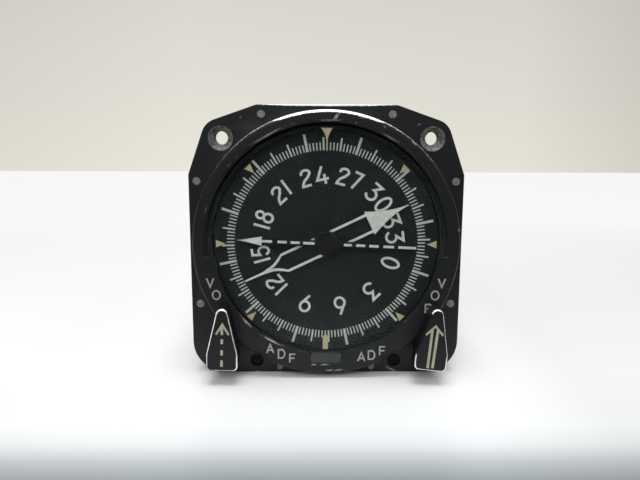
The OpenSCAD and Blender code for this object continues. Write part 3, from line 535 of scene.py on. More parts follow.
print("three colours of metal")

# %% [markdown]
# The enamel itself is sprayed and baked: a black with a soft sheen and a fine unevenness. Its material
# takes the highest of all the worn values, makes the border ragged with the fine noise, and lays primer
# and metal under the paint. A bump lowers the bare places, because the paint has a thickness.

# %% Enamel of the casting
ENAMEL, PRIMER = "#0F1213", "#5A5238"
# The fine noise frays a border in steps of 0.4 mm, and the slow one makes patches of 3 mm
RAGS_PER_MM, PATCHES_PER_MM = 2.6, 0.35


def worn_enamel():
    """Satin black enamel over aluminium, with bare metal in the worn places and painted highlights of
    near-white metal.
    """
    made, tree, shader, mm = finish("worn_black_enamel_on_cast_aluminium", ENAMEL, 0.4,
                                    Specular_IOR_Level=0.28)
    fine = add(tree, "ShaderNodeTexNoise", {
        "Vector": mm, "Scale": RAGS_PER_MM, "Detail": 5.0, "Roughness": 0.65})
    slow = add(tree, "ShaderNodeTexNoise", {"Vector": mm, "Scale": PATCHES_PER_MM, "Detail": 3.0})
    flat = add(tree, "ShaderNodeVectorMath", {0: mm, 1: (1, 0, 1)}, operation="MULTIPLY")
    axes = add(tree, "ShaderNodeSeparateXYZ", {0: mm})
    bare_arc, rim = ring_fields(tree, flat, axes, slow)
    bright = add(tree, "ShaderNodeMath", {0: bare_arc, 1: top_edge_highlight(tree, mm)}, operation="MAXIMUM")
    field, *others = chip_fields(tree, mm) + sink_fields(tree, flat) + [bright, rim, edge_field(tree, slow)]
    for other in others:
        field = add(tree, "ShaderNodeMath", {0: field, 1: other}, operation="MAXIMUM")
    ragged = add(tree, "ShaderNodeMath", {0: fine, 1: 0.9, 2: -0.48}, operation="MULTIPLY_ADD")
    field = add(tree, "ShaderNodeMath", {0: field, 1: ragged}, operation="ADD")
    bare = add(tree, "ShaderNodeMapRange", {"Value": field, "From Min": -0.03, "From Max": 0.04})
    primer = add(tree, "ShaderNodeMapRange", {"Value": field, "From Min": -0.14, "From Max": -0.06})
    # The ring's bare top and the flange's top edge take near-white metal, a painted highlight
    rubbed = add(tree, "ShaderNodeMapRange", {"Value": bright, "From Min": -0.3, "From Max": -0.1})
    under = add(tree, "ShaderNodeMix", {
        "Factor": primer, 6: linear(ENAMEL), 7: linear(PRIMER)}, data_type="RGBA")
    colour = add(tree, "ShaderNodeMix", {
        "Factor": bare, 6: under.outputs[2], 7: bare_metal(tree, mm, axes, rubbed)}, data_type="RGBA")
    shine = add(tree, "ShaderNodeMath", {0: bare, 1: rubbed}, operation="MULTIPLY")
    shine = add(tree, "ShaderNodeMath", {0: shine, 1: 0.5}, operation="MULTIPLY")
    rough = add(tree, "ShaderNodeMapRange", {
        "Value": fine, "From Min": NOISE_LOW, "From Max": NOISE_HIGH, "To Min": 0.36, "To Max": 0.52})
    height = add(tree, "ShaderNodeMath", {0: bare, 1: -0.5, 2: fine}, operation="MULTIPLY_ADD")
    bump = add(tree, "ShaderNodeBump", {"Height": height, "Distance": 0.03 * MM})
    tree.links.new(colour.outputs[2], shader.inputs["Base Color"])
    for key, node in (("Metallic", shine), ("Roughness", rough), ("Normal", bump)):
        tree.links.new(node.outputs[0], shader.inputs[key])
    return made


casting_enamel = worn_enamel()
print("enamel of", len(casting_enamel.node_tree.nodes), "nodes")

# %% [markdown]
# ## The front casting
# The CAD casting has the true form but knife-sharp edges. A real casting is broken at every edge by the
# finishing wheel, and that thin bevel is what catches the light and loses its paint first. So a copy of
# the mesh is merged, its flat triangles are joined, and its convex edges get a narrow bevel. The new
# faces carry an attribute that tells the enamel where an edge is.

# %% Bevelled copy of the casting
# The bevel's width in mm; edges flatter than the second, in degrees, belong to round faces; faces within
# the third are one flat face
EDGE_BREAK, ROUND_BELOW, FLAT_WITHIN = 0.12, 28, 0.3


def softened(node):
    """A copy of a CAD node's mesh with its convex edges bevelled; the bevels carry the edge mark."""
    bm = merged_copy(node)
    bmesh.ops.dissolve_limit(bm, angle_limit=math.radians(FLAT_WITHIN), verts=bm.verts, edges=bm.edges)
    mark = bm.faces.layers.float.new("edge")
    crisp = [e for e in bm.edges if e.is_convex and e.calc_face_angle(0) > math.radians(ROUND_BELOW)]
    made = bmesh.ops.bevel(bm, geom=crisp, offset=EDGE_BREAK * MM, offset_type="OFFSET", segments=2,
                           profile=0.5, affect="EDGES", clamp_overlap=False)
    for face in made["faces"]:
        face[mark] = 1.0
    for face in bm.faces:
        face.smooth = True
    return mesh_of(bm, node + "_softened")


def with_weighted_normals(mesh):
    """The same mesh shaded so that flat faces stay flat up to their bevels."""
    holder = bpy.data.objects.new("holder", mesh)
    weighted = holder.modifiers.new("weighted", "WEIGHTED_NORMAL")
    weighted.keep_sharp = True
    return applied(holder)


mesh = with_weighted_normals(softened("bezel_casting"))
casting = piece_from("front_casting", mesh, casting_enamel, "housing")
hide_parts("bezel_casting")

# %% [markdown]
# The two lower holes of the flange look dark. A black rubber plug in each closes it from behind and
# stands in for the shade inside the hole; its colour is a painted shade, darkest at the hole's middle.

# %% Plugs in the lower holes
LOWER_HOLE_X, LOWER_HOLE_Y = 21.5, -37.4
# Each plug is a wide disc with a narrower one in front: the radius, and where each begins and ends in p
PLUG_DISCS = ((1.95, -4.9, -1.6), (1.5, -1.65, -1.2))
# The plug is darkest within the first radius from the hole's axis and lightest by the second, in mm: a
# painted shade
DARKEST_WITHIN, LIGHTEST_FROM = 0.8, 2.0

# Moulded rubber is matt and nearly without gloss; its colour is painted darker towards the hole's middle, a
# painted shade
rubber, tree, shader, mm = finish("moulded_black_rubber_plug", "#0A0B0B", 0.8, Specular_IOR_Level=0.2)
parts = add(tree, "ShaderNodeSeparateXYZ", {0: mm})
beside = add(tree, "ShaderNodeMath", {0: parts.outputs["X"]}, operation="ABSOLUTE")
spot = add(tree, "ShaderNodeCombineXYZ", {"X": beside, "Z": parts.outputs["Z"]})
away = add(tree, "ShaderNodeVectorMath", {0: spot, 1: (LOWER_HOLE_X, 0, LOWER_HOLE_Y)}, operation="DISTANCE")
reach = add(tree, "ShaderNodeMapRange", {
    "Value": away.outputs["Value"], "From Min": DARKEST_WITHIN, "From Max": LIGHTEST_FROM})
hole_shade = add(tree, "ShaderNodeMix", {
    "Factor": reach, 6: linear("#060707"), 7: linear("#17191A")}, data_type="RGBA")
tree.links.new(hole_shade.outputs[2], shader.inputs["Base Color"])
grain(tree, shader, mm, 0.3, 0.01, 0.85, 0.7)

bm = bmesh.new()
for side in (-1, 1):
    for radius, low, high in PLUG_DISCS:
        centre = Matrix.Translation(front(side * LOWER_HOLE_X, LOWER_HOLE_Y, (low + high) / 2))
        bmesh.ops.create_cone(
            bm, cap_ends=True, segments=28, radius1=radius * MM, radius2=radius * MM,
            depth=(high - low) * MM, matrix=centre @ Matrix.Rotation(math.pi / 2, 4, "X"))
piece_from("lower_hole_plugs", mesh_of(bm, "lower_hole_plugs"), rubber, "housing")

# %% [markdown]
# ## Marks drawn with strokes
# Numerals, letters and arrows on an instrument are engraved or screen printed with a stroke of even
# width. A font would bring someone's letterforms with it, so each character here is a few lines and arcs
# in a unit box, and one function lays a flat strip of paint along them. The strips are thin closed
# solids, a few hundredths of a millimetre proud, as a thick screen print is.

# %% Plates
# How thick a print is, how far it reaches into the face under it, and how much higher a crossing
# stroke lies, so that no two faces lie in one plane; in mm
PAINT, BITE, LIFT = 0.03, 0.01, 0.004


def prism(bm, outline, base, thickness=PAINT):
    """A thin closed plate on a face at p = base; the outline runs anticlockwise as seen."""
    low = [bm.verts.new(front(x, y, base - BITE)) for x, y in outline]
    high = [bm.verts.new(front(x, y, base + thickness)) for x, y in outline]
    bm.faces.new(high)
    bm.faces.new(low[::-1])
    for i in range(len(outline)):
        j = (i + 1) % len(outline)
        bm.faces.new((low[i], low[j], high[j], high[i]))


print("a print is", PAINT, "mm thick")

# %% Strokes
# Two points this close are one, and a sharp corner's mitre is cut where it would get longer than
# half the width divided by the second value
SAME_POINT, MITRE_LIMIT = 1e-6, 0.4


def stroke(bm, line, width, base, thickness=PAINT):
    """A flat strip along a line of points, mitred at its corners; a line that ends at its start is a loop."""
    points = [Vector(q) for q in line]
    loop = (points[0] - points[-1]).length < SAME_POINT
    if loop:
        points.pop()
    count = len(points)
    rows = []
    for i, here in enumerate(points):
        before = points[i - 1] if loop or i > 0 else None
        after = points[(i + 1) % count] if loop or i < count - 1 else None
        arriving = (here - before if before is not None else after - here).normalized()
        leaving = (after - here if after is not None else here - before).normalized()
        middle = (arriving + leaving).normalized()
        across = Vector((-middle.y, middle.x))
        reach = width / 2 / max(MITRE_LIMIT, across.dot(Vector((-arriving.y, arriving.x))))
        rows.append([bm.verts.new(front(q.x, q.y, p)) for p in (base - BITE, base + thickness)
                     for q in (here + across * reach, here - across * reach)])
    for i in range(count if loop else count - 1):
        (ll, lr, hl, hr), (nll, nlr, nhl, nhr) = rows[i], rows[(i + 1) % count]
        for corners in ((hr, nhr, nhl, hl), (ll, nll, nlr, lr), (lr, nlr, nhr, hr), (nll, ll, hl, nhl)):
            bm.faces.new(corners)
    if not loop:
        (ll, lr, hl, hr), (ell, elr, ehl, ehr) = rows[0], rows[-1]
        bm.faces.new((ll, lr, hr, hl))
        bm.faces.new((elr, ell, ehl, ehr))


def arc(x, y, rx, ry, start, end, steps=16):
    """Points on an ellipse; degrees run anticlockwise from the right."""
    turns = [math.radians(start + (end - start) * i / steps) for i in range(steps + 1)]
    return [(x + rx * math.cos(a), y + ry * math.sin(a)) for a in turns]


print("strokes along lines and arcs")

# %% [markdown]
# The figures have plain round shapes, as an engraver cuts them. Each is given in a box from -1 to 1, with
# half its real width, so that it can be drawn at any size and turned to its place on the card.

# %% Figures
SIX = [arc(0, -0.4, 1, 0.6, 0, 360, 24), [(-0.93, -0.2), (0.45, 1)]]
# Half the width in mm at the numerals' size, and the strokes in a box from -1 to 1
DIGITS = {
    "0": (1.33, [arc(0, 0, 1, 1, 0, 360, 28)]),
    "1": (0.5, [[(0, -1), (0, 1)]]),
    "2": (1.41, [arc(0.2, 0.6, 1, 0.4, 200, -50) + [
        (0.6, 0.08), (0.1, -0.12), (-0.4, -0.32), (-0.75, -0.58), (-0.95, -0.85), (-1, -1), (1, -1)]]),
    "3": (1.6, [[(-0.9, 1), (0.9, 1), (-0.1, 0.2)] + arc(0, -0.4, 1, 0.6, 88, -160)]),
    "4": (1.7, [[(0.15, 1), (-1, -0.45), (1, -0.45)], [(0.35, 0.1), (0.35, -1)]]),
    "5": (1.25, [[(0.9, 1), (-0.7, 1), (-0.85, 0.12)] + arc(0, -0.38, 1, 0.62, 110, -160)]),
    "6": (1.42, SIX),
    "7": (1.33, [[(-1, 1), (1, 1), (-0.35, -1)]]),
    "8": (1.28, [arc(0, -0.46, 1, 0.54, 0, 360, 24), arc(0, 0.54, 0.82, 0.46, 0, 360, 24)]),
    "9": (1.42, [[(-x, -y) for x, y in line] for line in SIX]),
}


def character(bm, shape, centre, turn, half_height, width, base, scale=1.0):
    """Draws one character upright or turned clockwise by some degrees."""
    half_width, lines = shape
    a = math.radians(turn)
    for order, line in enumerate(lines):
        placed = [(centre[0] + u * half_width * scale * math.cos(a) + v * half_height * math.sin(a),
                   centre[1] - u * half_width * scale * math.sin(a) + v * half_height * math.cos(a))
                  for u, v in line]
        stroke(bm, placed, width, base, PAINT + LIFT * order)


print(len(DIGITS), "figures")

# %% [markdown]
# ## Printing inks
# The card's graduations are a cooler grey than its numerals, the fixed indices have turned beige with
# age, and the letters on the casting are engraved and filled. Each ink is matt, with a little mottling.

# %% Inks
def ink(name, *colours):
    """A matt printing ink: faint clouds of a millimetre, and the ink's own fine grain."""
    made, tree, shader, mm = finish(name, colours[0], 0.6)
    cloud(tree, shader, mm, 1.1, *colours)
    grain(tree, shader, mm, 0.15, 0.004, 0.7, 0.5)
    return made


# Screen printed marks: thin grey ink for the fine lines, and a fuller, warmer one for the figures
tick_ink = ink("grey_graduation_ink", "#979A94", "#ABAEA7")
numeral_ink = ink("white_numeral_ink", "#A4A79F", "#B5B8AF")
# The paint on the glass was white once, and age has turned it beige
index_ink = ink("aged_beige_index_paint", "#968E6A", "#A79F7C")
# The engraved letters are filled with a paint that dirt has greyed
legend_ink = ink("engraved_letter_fill", "#888881", "#9A9A92")
# Brushed enamel on the pointer, whiter on its head than on its thin dashes
pointer_ink = ink("white_pointer_enamel", "#A2A5A0", "#B5B8B2")
dash_ink = ink("grey_dash_enamel", "#9BA09A", "#AFB3AD")
# The knobs' arrows are touched most, so theirs is the dirtiest enamel
arrow_ink = ink("aged_arrow_enamel", "#8F8A77", "#A49F8B")
print("seven inks")

# %% [markdown]
# ## Graduations of the card
# The card has a mark every two degrees, a longer one every ten and the longest every thirty. A ring of
# equal marks is what Geometry Nodes are for: one small block, instanced on a ring of points, with named
# inputs for the count, the radii and which marks to leave out for the longer ones.

# %% Helpers for Geometry Nodes trees
def new_tree(name, **sockets):
    """A Geometry Nodes tree with named inputs, given as example values; returns it and its inputs."""
    tree = bpy.data.node_groups.new(name, "GeometryNodeTree")
    kinds = {float: "NodeSocketFloat", int: "NodeSocketInt"}
    tree.interface.new_socket("Geometry", in_out="INPUT", socket_type="NodeSocketGeometry")
    for label, value in sockets.items():
        tree.interface.new_socket(label, in_out="INPUT", socket_type=kinds[type(value)])
    tree.interface.new_socket("Material", in_out="INPUT", socket_type="NodeSocketMaterial")
    tree.interface.new_socket("Geometry", in_out="OUTPUT", socket_type="NodeSocketGeometry")
    return tree, tree.nodes.new("NodeGroupInput").outputs


def close_tree(tree, given, geometry):
    """Ends a tree: instances become real and everything takes the material."""
    real = add(tree, "GeometryNodeRealizeInstances", {"Geometry": geometry})
    painted = add(tree, "GeometryNodeSetMaterial", {"Geometry": real, "Material": given["Material"]})
    add(tree, "NodeGroupOutput", {"Geometry": painted})


def grown(name, tree, values, material, body, points=((0, 0, 0),), axes=None):
    """Runs a tree on some points and keeps the result as a plain mesh on a body."""
    seed = bpy.data.meshes.new(name + "_points")
    seed.from_pydata(points, [], [])
    if axes:
        seed.attributes.new("axis", "FLOAT_VECTOR", "POINT").data.foreach_set(
            "vector", [c for axis in axes for c in axis])
    holder = bpy.data.objects.new(name + "_holder", seed)
    modifier = holder.modifiers.new("tree", "NODES")
    modifier.node_group = tree
    for item in tree.interface.items_tree:
        if item.in_out == "INPUT" and item.name in values:
            modifier[item.identifier] = values[item.name]
        elif item.in_out == "INPUT" and item.name == "Material":
            modifier[item.identifier] = material
    mesh = applied(holder)
    mesh.name = name
    return piece_from(name, mesh, material, body)


print("a tree starts on points and ends in a plain mesh")

# %% Tree for a ring of marks
marks, given = new_tree("ring_of_marks", Count=1, Step=1.0, Start=1.0, Skip=1, Inner=1.0, Outer=1.0,
                        Width=1.0, Base=1.0, Thickness=1.0)
index = add(marks, "GeometryNodeInputIndex")
number = add(marks, "ShaderNodeMath", {0: index, 1: 1.0}, operation="ADD")
angle = add(marks, "ShaderNodeMath", {0: number, 1: given["Step"], 2: given["Start"]},
            operation="MULTIPLY_ADD")
total = add(marks, "ShaderNodeMath", {0: given["Inner"], 1: given["Outer"]}, operation="ADD")
radius = add(marks, "ShaderNodeMath", {0: total, 1: 0.5}, operation="MULTIPLY")
length = add(marks, "ShaderNodeMath", {0: given["Outer"], 1: given["Inner"]}, operation="SUBTRACT")
sine = add(marks, "ShaderNodeMath", {0: angle}, operation="SINE")
cosine = add(marks, "ShaderNodeMath", {0: angle}, operation="COSINE")
x = add(marks, "ShaderNodeMath", {0: sine, 1: radius}, operation="MULTIPLY")
z = add(marks, "ShaderNodeMath", {0: cosine, 1: radius}, operation="MULTIPLY")
place = add(marks, "ShaderNodeCombineXYZ", {"X": x, "Y": given["Base"], "Z": z})
ring = add(marks, "GeometryNodePoints", {"Count": given["Count"], "Position": place})
left_over = add(marks, "ShaderNodeMath", {0: number, 1: given["Skip"]}, operation="MODULO")
kept = add(marks, "FunctionNodeCompare", {0: left_over, 1: 0.5}, data_type="FLOAT", operation="GREATER_THAN")
size = add(marks, "ShaderNodeCombineXYZ", {"X": given["Width"], "Y": given["Thickness"], "Z": length})
block = add(marks, "GeometryNodeMeshCube", {"Size": size})
turned = add(marks, "ShaderNodeCombineXYZ", {"Y": angle})
turned = add(marks, "FunctionNodeEulerToRotation", {0: turned})
placed = add(marks, "GeometryNodeInstanceOnPoints", {
    "Points": ring, "Instance": block, "Selection": kept, "Rotation": turned})
close_tree(marks, given, placed)
print("ring of marks,", len(marks.nodes), "nodes")

# %% [markdown]
# The same tree makes all three rows of marks. Each row skips the places where the next row's longer
# marks stand, so that no mark lies on another.

# %% Marks of the card
# The heading under the top needle, in degrees, and the radius in mm where every mark begins
HEADING = 251.8
TICK_INNER = 28.0
# Each row is the step in degrees, which marks it skips, and the marks' outer radius and width in mm
ROWS = ((2, 5, 30.3, 0.36), (10, 3, 31.8, 0.52), (30, 13, 33.3, 0.76))
for step, skip, outer, width in ROWS:
    sizes = {
        "Count": 360 // step, "Step": math.radians(step), "Start": math.radians(-HEADING), "Skip": skip,
        "Inner": TICK_INNER * MM, "Outer": outer * MM, "Width": width * MM,
        "Base": -(CARD_FACE + PAINT / 2) * MM, "Thickness": (PAINT + 2 * BITE) * MM}
    grown("card_marks_" + str(step), marks, sizes, tick_ink, "compass_card")

# %% [markdown]
# ## Numerals of the card
# The numerals give tens of degrees, every thirty degrees. Each figure stands on its own radius with its
# top outwards. They were set by hand, narrow figures closer together, and stray a little from their ring.

# %% Numerals
NUMERAL_HALF = 2.575
NUMERAL_STROKE = 0.75
NUMERALS_HEADING = HEADING - 0.3
# Each figure's place beside its heading line, its radius, and how far it leans clockwise
FIGURES = {
    "0": ((-0.24, 20.77, 0),),
    "3": ((-0.45, 20.7, -3),),
    "6": ((-0.48, 20.55, -3),),
    "9": ((-0.09, 20.11, -3),),
    "12": ((-1.9, 20.12, -3), (1.2, 20.15, 2)),
    "15": ((-1.6, 20.33, -4), (1.29, 20.26, 3)),
    "18": ((-1.48, 20.18, -3), (1.6, 20.3, 4)),
    "21": ((-1.25, 20.45, -1), (2.17, 20.68, 5)),
    "24": ((-2.29, 20.45, -4), (2.81, 20.34, -1)),
    "27": ((-1.78, 20.68, -4), (2.48, 20.63, 5)),
    "30": ((-2.23, 20.89, -7), (2.63, 20.73, 7)),
    "33": ((-2.68, 20.67, -10), (2.39, 20.88, 4)),
}
# Some figures were drawn a little larger or smaller than the others
DRAWN = {"0": 1.04, "2": 0.92, "4": 1.05, "6": 1.06, "7": 0.97, "9": 1.04}

bm = bmesh.new()
for label, places in FIGURES.items():
    for digit, (aside, radius, lean) in zip(label, places):
        line = int(label) * 10 - NUMERALS_HEADING
        centre = around(math.hypot(aside, radius), line + math.degrees(math.atan2(aside, radius)))
        size = DRAWN.get(digit, 1.0)
        character(bm, DIGITS[digit], centre, line + lean, NUMERAL_HALF * size, NUMERAL_STROKE,
                  CARD_FACE, size)
piece_from("card_numerals", mesh_of(bm, "card_numerals"), numeral_ink, "compass_card")

# %% [markdown]
# ## Fixed indices
# Six small triangles, a needle at the top and a post at the bottom are painted on the back of the glass,
# so they stay still while the card turns under them. Each is one thin plate, turned to its place.

# %% Indices behind the glass
GLASS_BACK = -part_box("cover_glass")[1].y / MM
INDEX_BASE = GLASS_BACK - PAINT + BITE
# Each triangle's angle in degrees and its tip's radius, then half its width and its length, in mm
INDICES = ((45.2, 30.2), (89.9, 30.25), (134.7, 29.93), (225.6, 29.93), (270.4, 30.23), (314.9, 30.15))
INDEX_HALF, INDEX_LENGTH = 1.12, 2.9
# Half the needle's outline at the top, and the post at the bottom with its angle
NEEDLE = [(1.7, 34.6), (0.95, 33.4), (0.42, 32.2), (0.2, 31.0), (0.16, 28.4), (0, 27.7)]
POST = [(-0.82, 32.87), (-0.82, 28.97), (0, 27.87), (0.82, 28.97), (0.82, 32.87)]
POST_ANGLE = 180.25

bm = bmesh.new()
for degrees, tip in INDICES:
    triangle = [(0, tip), (INDEX_HALF, tip + INDEX_LENGTH), (-INDEX_HALF, tip + INDEX_LENGTH)]
    prism(bm, turned_outline(triangle, degrees), INDEX_BASE)
prism(bm, [(-u, v) for u, v in NEEDLE[:-1]] + NEEDLE[::-1], INDEX_BASE)
prism(bm, turned_outline(POST, POST_ANGLE), INDEX_BASE)
piece_from("fixed_indices", mesh_of(bm, "fixed_indices"), index_ink, "housing")

# %% [markdown]
# ## Letters
# The hood under the window carries the selectors' positions in upright capitals. They are plain words
# for what the knob chooses, drawn with the same strokes as the figures.

# %% Letters on the hood
LETTERS = {
    "V": (0.95, [[(-1, 1), (0, -1), (1, 1)]]),
    "O": (1.0, [arc(0, 0, 1, 1, 0, 360, 24)]),
    "R": (0.8, [[(-1, -1), (-1, 1), (0.2, 1)] + arc(0.2, 0.52, 0.8, 0.48, 90, -90, 10) + [(-1, 0.04)],
                [(0.1, 0.04), (1, -1)]]),
    "A": (0.95, [[(-1, -1), (0, 1), (1, -1)], [(-0.62, -0.35), (0.62, -0.35)]]),
    "D": (0.85, [[(-1, -1), (-1, 1), (0, 1)] + arc(0, 0, 1, 1, 90, -90, 14) + [(-1, -1)]]),
    "F": (0.75, [[(-1, -1), (-1, 1), (1, 1)], [(-1, 0.05), (0.7, 0.05)]]),
}
LEGENDS = [
    ("V", -34.7, -11.05), ("O", -32.95, -14.87), ("R", -30.1, -21.1),
    ("V", 34.6, -11.08), ("O", 32.7, -14.95), ("R", 30.8, -19.1),
    ("A", -17.0, -31.72), ("D", -13.55, -33.35), ("F", -10.2, -34.8),
    ("A", 10.8, -34.35), ("D", 13.9, -33.75), ("F", 17.2, -32.43),
]
LETTER_HALF, LETTER_STROKE, LETTER_SPREAD = 1.33, 0.45, 1.12

bm = bmesh.new()
for letter, x, y in LEGENDS:
    character(bm, LETTERS[letter], (x, y), 0, LETTER_HALF, LETTER_STROKE, RING_FACE, LETTER_SPREAD)
piece_from("selector_letters", mesh_of(bm, "selector_letters"), legend_ink, "housing")

# %% [markdown]
# ## The pointers
# The single pointer is a black blade with a white head and a row of grey dashes. The double pointer is
# all white but for its black hub, and its two bars leave the numerals between them readable. The CAD
# sheets are kept, and thin paint is laid on the single one.

# %% Paint of the single pointer
SINGLE_FACE = face_of("single_pointer")
SINGLE_BEARING = 272.6
# The head's outline, then where each dash begins and ends towards the head and towards the tail, in mm
HEAD = [(0, 27.2), (-0.12, 25.9), (-0.42, 24.2), (-1.42, 19.5), (1.42, 19.5), (0.42, 24.2), (0.12, 25.9)]
DASHES = [(16.4, 19.5), (12.0, 14.75), (8.05, 10.8), (3.55, 7.0)]
TAIL_DASHES = [(5.35, 7.7), (9.05, 11.75), (13.0, 15.8), (17.3, 20.5), (21.8, 27.2)]
DASH_HALF = 0.38

bm = bmesh.new()
prism(bm, turned_outline(HEAD, SINGLE_BEARING), SINGLE_FACE)
piece_from("single_pointer_head", mesh_of(bm, "single_pointer_head"), pointer_ink,
           "single_pointer")
bm = bmesh.new()
for bearing, dashes in ((SINGLE_BEARING, DASHES), (SINGLE_BEARING + 180, TAIL_DASHES)):
    for inner, outer in dashes:
        block = [(-DASH_HALF, inner), (DASH_HALF, inner), (DASH_HALF, outer), (-DASH_HALF, outer)]
        prism(bm, turned_outline(block, bearing), SINGLE_FACE)
piece_from("single_pointer_dashes", mesh_of(bm, "single_pointer_dashes"), dash_ink,
           "single_pointer")

# %% [markdown]
# ## Selector knobs
# Each knob is a black pear-shaped grip whose front edge is rubbed down to bright metal all round, with an
# arrow on it: a dashed one for the single pointer and a double one for the double pointer. A copy of each
# CAD knob gets its worn edge as a value on the faces of its front chamfer.

# %% Enamel of the knobs
KNOB_BLACK, KNOB_BARE = "#0E1011", "#F4F4F0"
# How far behind the knob's face the metal stands out most, in mm, and the loss for each mm from there
CHAMFER_MIDDLE, CHAMFER_LOSS = 0.2, 3.4


def worn_knob_enamel():
    """Black enamel on turned metal; a value on the faces tells how far it is rubbed away."""
    made, tree, shader, mm = finish("rubbed_black_enamel_knob", KNOB_BLACK, 0.38, Specular_IOR_Level=0.25)
    worn = add(tree, "ShaderNodeAttribute", attribute_name="worn").outputs["Fac"]
    fine = add(tree, "ShaderNodeTexNoise", {"Vector": mm, "Scale": 1.3, "Detail": 4.0})
    field = add(tree, "ShaderNodeMath", {0: worn, 1: fine}, operation="SUBTRACT")
    depth = add(tree, "ShaderNodeSeparateXYZ", {0: mm}).outputs["Y"]
    off = add(tree, "ShaderNodeMath", {0: depth, 1: KNOB_FACE - CHAMFER_MIDDLE}, operation="ADD")
    off = add(tree, "ShaderNodeMath", {0: off}, operation="ABSOLUTE")
    field = add(tree, "ShaderNodeMath", {0: off, 1: -CHAMFER_LOSS, 2: field}, operation="MULTIPLY_ADD")
    bare = add(tree, "ShaderNodeMapRange", {"Value": field, "From Min": -0.02, "From Max": 0.03})
    colour = add(tree, "ShaderNodeMix", {
        "Factor": bare, 6: linear(KNOB_BLACK), 7: linear(KNOB_BARE)}, data_type="RGBA")
    shine = add(tree, "ShaderNodeMath", {0: bare, 1: 0.45}, operation="MULTIPLY")
    grain(tree, shader, mm, 0.5, 0.012, 0.48, 0.3)
    tree.links.new(colour.outputs[2], shader.inputs["Base Color"])
    tree.links.new(shine.outputs[0], shader.inputs["Metallic"])
    return made


knob_enamel = worn_knob_enamel()
print("knob enamel of", len(knob_enamel.node_tree.nodes), "nodes")

# %% Grips with rubbed edges
# The pivots' radius in mm and their angle below the horizontal, and how low the grips hang on them
KNOB_RADIUS, KNOB_TURN = 44.05, math.radians(45.1)
KNOB_DROP = 0.42
# The chamfer's faces look forward by a share between these, and begin within this depth in mm
CHAMFER_FLAT, CHAMFER_STEEP, CHAMFER_DEPTH = 0.95, 0.2, 0.6
# How far the edge is rubbed, at angles clockwise from the tip
RUBBED = {
    "left_knob": ((0, 1.25), (6, 1.2), (10, 0.85), (60, 0.8), (95, 0.85), (118, 1.3), (135, 1.3), (150, 0.9),
                  (215, 0.85), (240, 0.8), (262, 0.95), (300, 1.0), (333, 0.95), (337, 0.1), (341, 0.95),
                  (352, 1.2), (360, 1.25)),
    "right_knob": ((0, 1.15), (5, 1.1), (9, 0.72), (80, 0.74), (105, 0.8), (114, 1.3), (140, 1.3), (165, 1.1),
                   (200, 1.0), (228, 1.25), (252, 1.15), (262, 0.6), (272, 0.3), (350, 0.25), (353, 1.0),
                   (356, 1.2), (360, 1.15)),
}
# Each grip's side, its turn about its shaft in degrees clockwise, its width against the CAD's, and its
# offset in mm
SET = {"left_knob": (-1, -1.1, 0.94, 0.19), "right_knob": (1, 1.8, 0.97, 0.15)}


def knob_pivot(side):
    """The x and y of a knob's shaft, in mm."""
    return side * KNOB_RADIUS * math.cos(KNOB_TURN), -KNOB_RADIUS * math.sin(KNOB_TURN)


def rubbed_at(node, angle):
    """How far a knob's edge is rubbed at an angle, between the nearest two given ones."""
    for (start, low), (end, high) in zip(RUBBED[node], RUBBED[node][1:]):
        if start <= angle <= end:
            return low + (high - low) * (angle - start) / (end - start)


for node, (side, turn, share, aside) in SET.items():
    pivot = front(*knob_pivot(side), KNOB_FACE)
    bm = merged_copy(node)
    mark = bm.faces.layers.float.new("worn")
    for face in bm.faces:
        middle = face.calc_center_median()
        in_chamfer = CHAMFER_STEEP < -face.normal.y < CHAMFER_FLAT
        if in_chamfer and -middle.y / MM > KNOB_FACE - CHAMFER_DEPTH:
            away = middle - pivot
            face[mark] = rubbed_at(node, math.degrees(math.atan2(away.x, away.z)) % 360)
    mesh = mesh_of(bm, node + "_worn")
    # The grips hang a little low on their shafts, and were not set quite straight
    hung = Matrix.Translation(pivot + front(aside, -KNOB_DROP, 0))
    narrowed = Matrix.Rotation(math.radians(turn), 4, "Y") @ Matrix.Diagonal((share, 1, 1, 1))
    mesh.transform(hung @ narrowed @ Matrix.Translation(-pivot))
    made = piece_from(node + "_grip", mesh, knob_enamel, node)
    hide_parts(node)

# %% [markdown]
# The arrows are painted on the grips' flat faces and follow each grip's middle line, so they lean a
# little. The head is one mitred stroke, and the shaft is a row of dashes or two bars.

# %% Arrows on the knobs
HEAD_STROKE, DASH_STROKE, BAR_STROKE = 0.62, 0.75, 0.78
# The left arrow's head, and where each dash of its leaning shaft begins and ends, in mm
LEFT_HEAD = [(-32.45, -25.2), (-30.5, -22.15), (-28.7, -25.3)]
LEFT_DASHES = ((-22.9, -25.3), (-26.6, -28.1), (-30.0, -31.6), (-33.1, -35.1))
LEFT_SHAFT_X, LEFT_SHAFT_LEAN = -29.87, 0.033
# The right arrow's head, and the x of each bar's top and bottom and their heights
RIGHT_HEAD = [(29.25, -25.3), (32.05, -22.7), (34.35, -25.55)]
RIGHT_BARS = ((31.1, 30.03), (32.75, 31.46))
BAR_TOP, BAR_BOTTOM = -23.9, -35.6

bm = bmesh.new()
stroke(bm, LEFT_HEAD, HEAD_STROKE, KNOB_FACE)
for ends in LEFT_DASHES:
    dash = [(LEFT_SHAFT_X + LEFT_SHAFT_LEAN * y, y) for y in ends]
    stroke(bm, dash, DASH_STROKE, KNOB_FACE, PAINT + LIFT)
piece_from("left_arrow", mesh_of(bm, "left_arrow"), arrow_ink, "left_knob")
bm = bmesh.new()
stroke(bm, RIGHT_HEAD, HEAD_STROKE, KNOB_FACE)
for top, bottom in RIGHT_BARS:
    stroke(bm, [(top, BAR_TOP), (bottom, BAR_BOTTOM)], BAR_STROKE, KNOB_FACE, PAINT + LIFT)
piece_from("right_arrow", mesh_of(bm, "right_arrow"), arrow_ink, "right_knob")

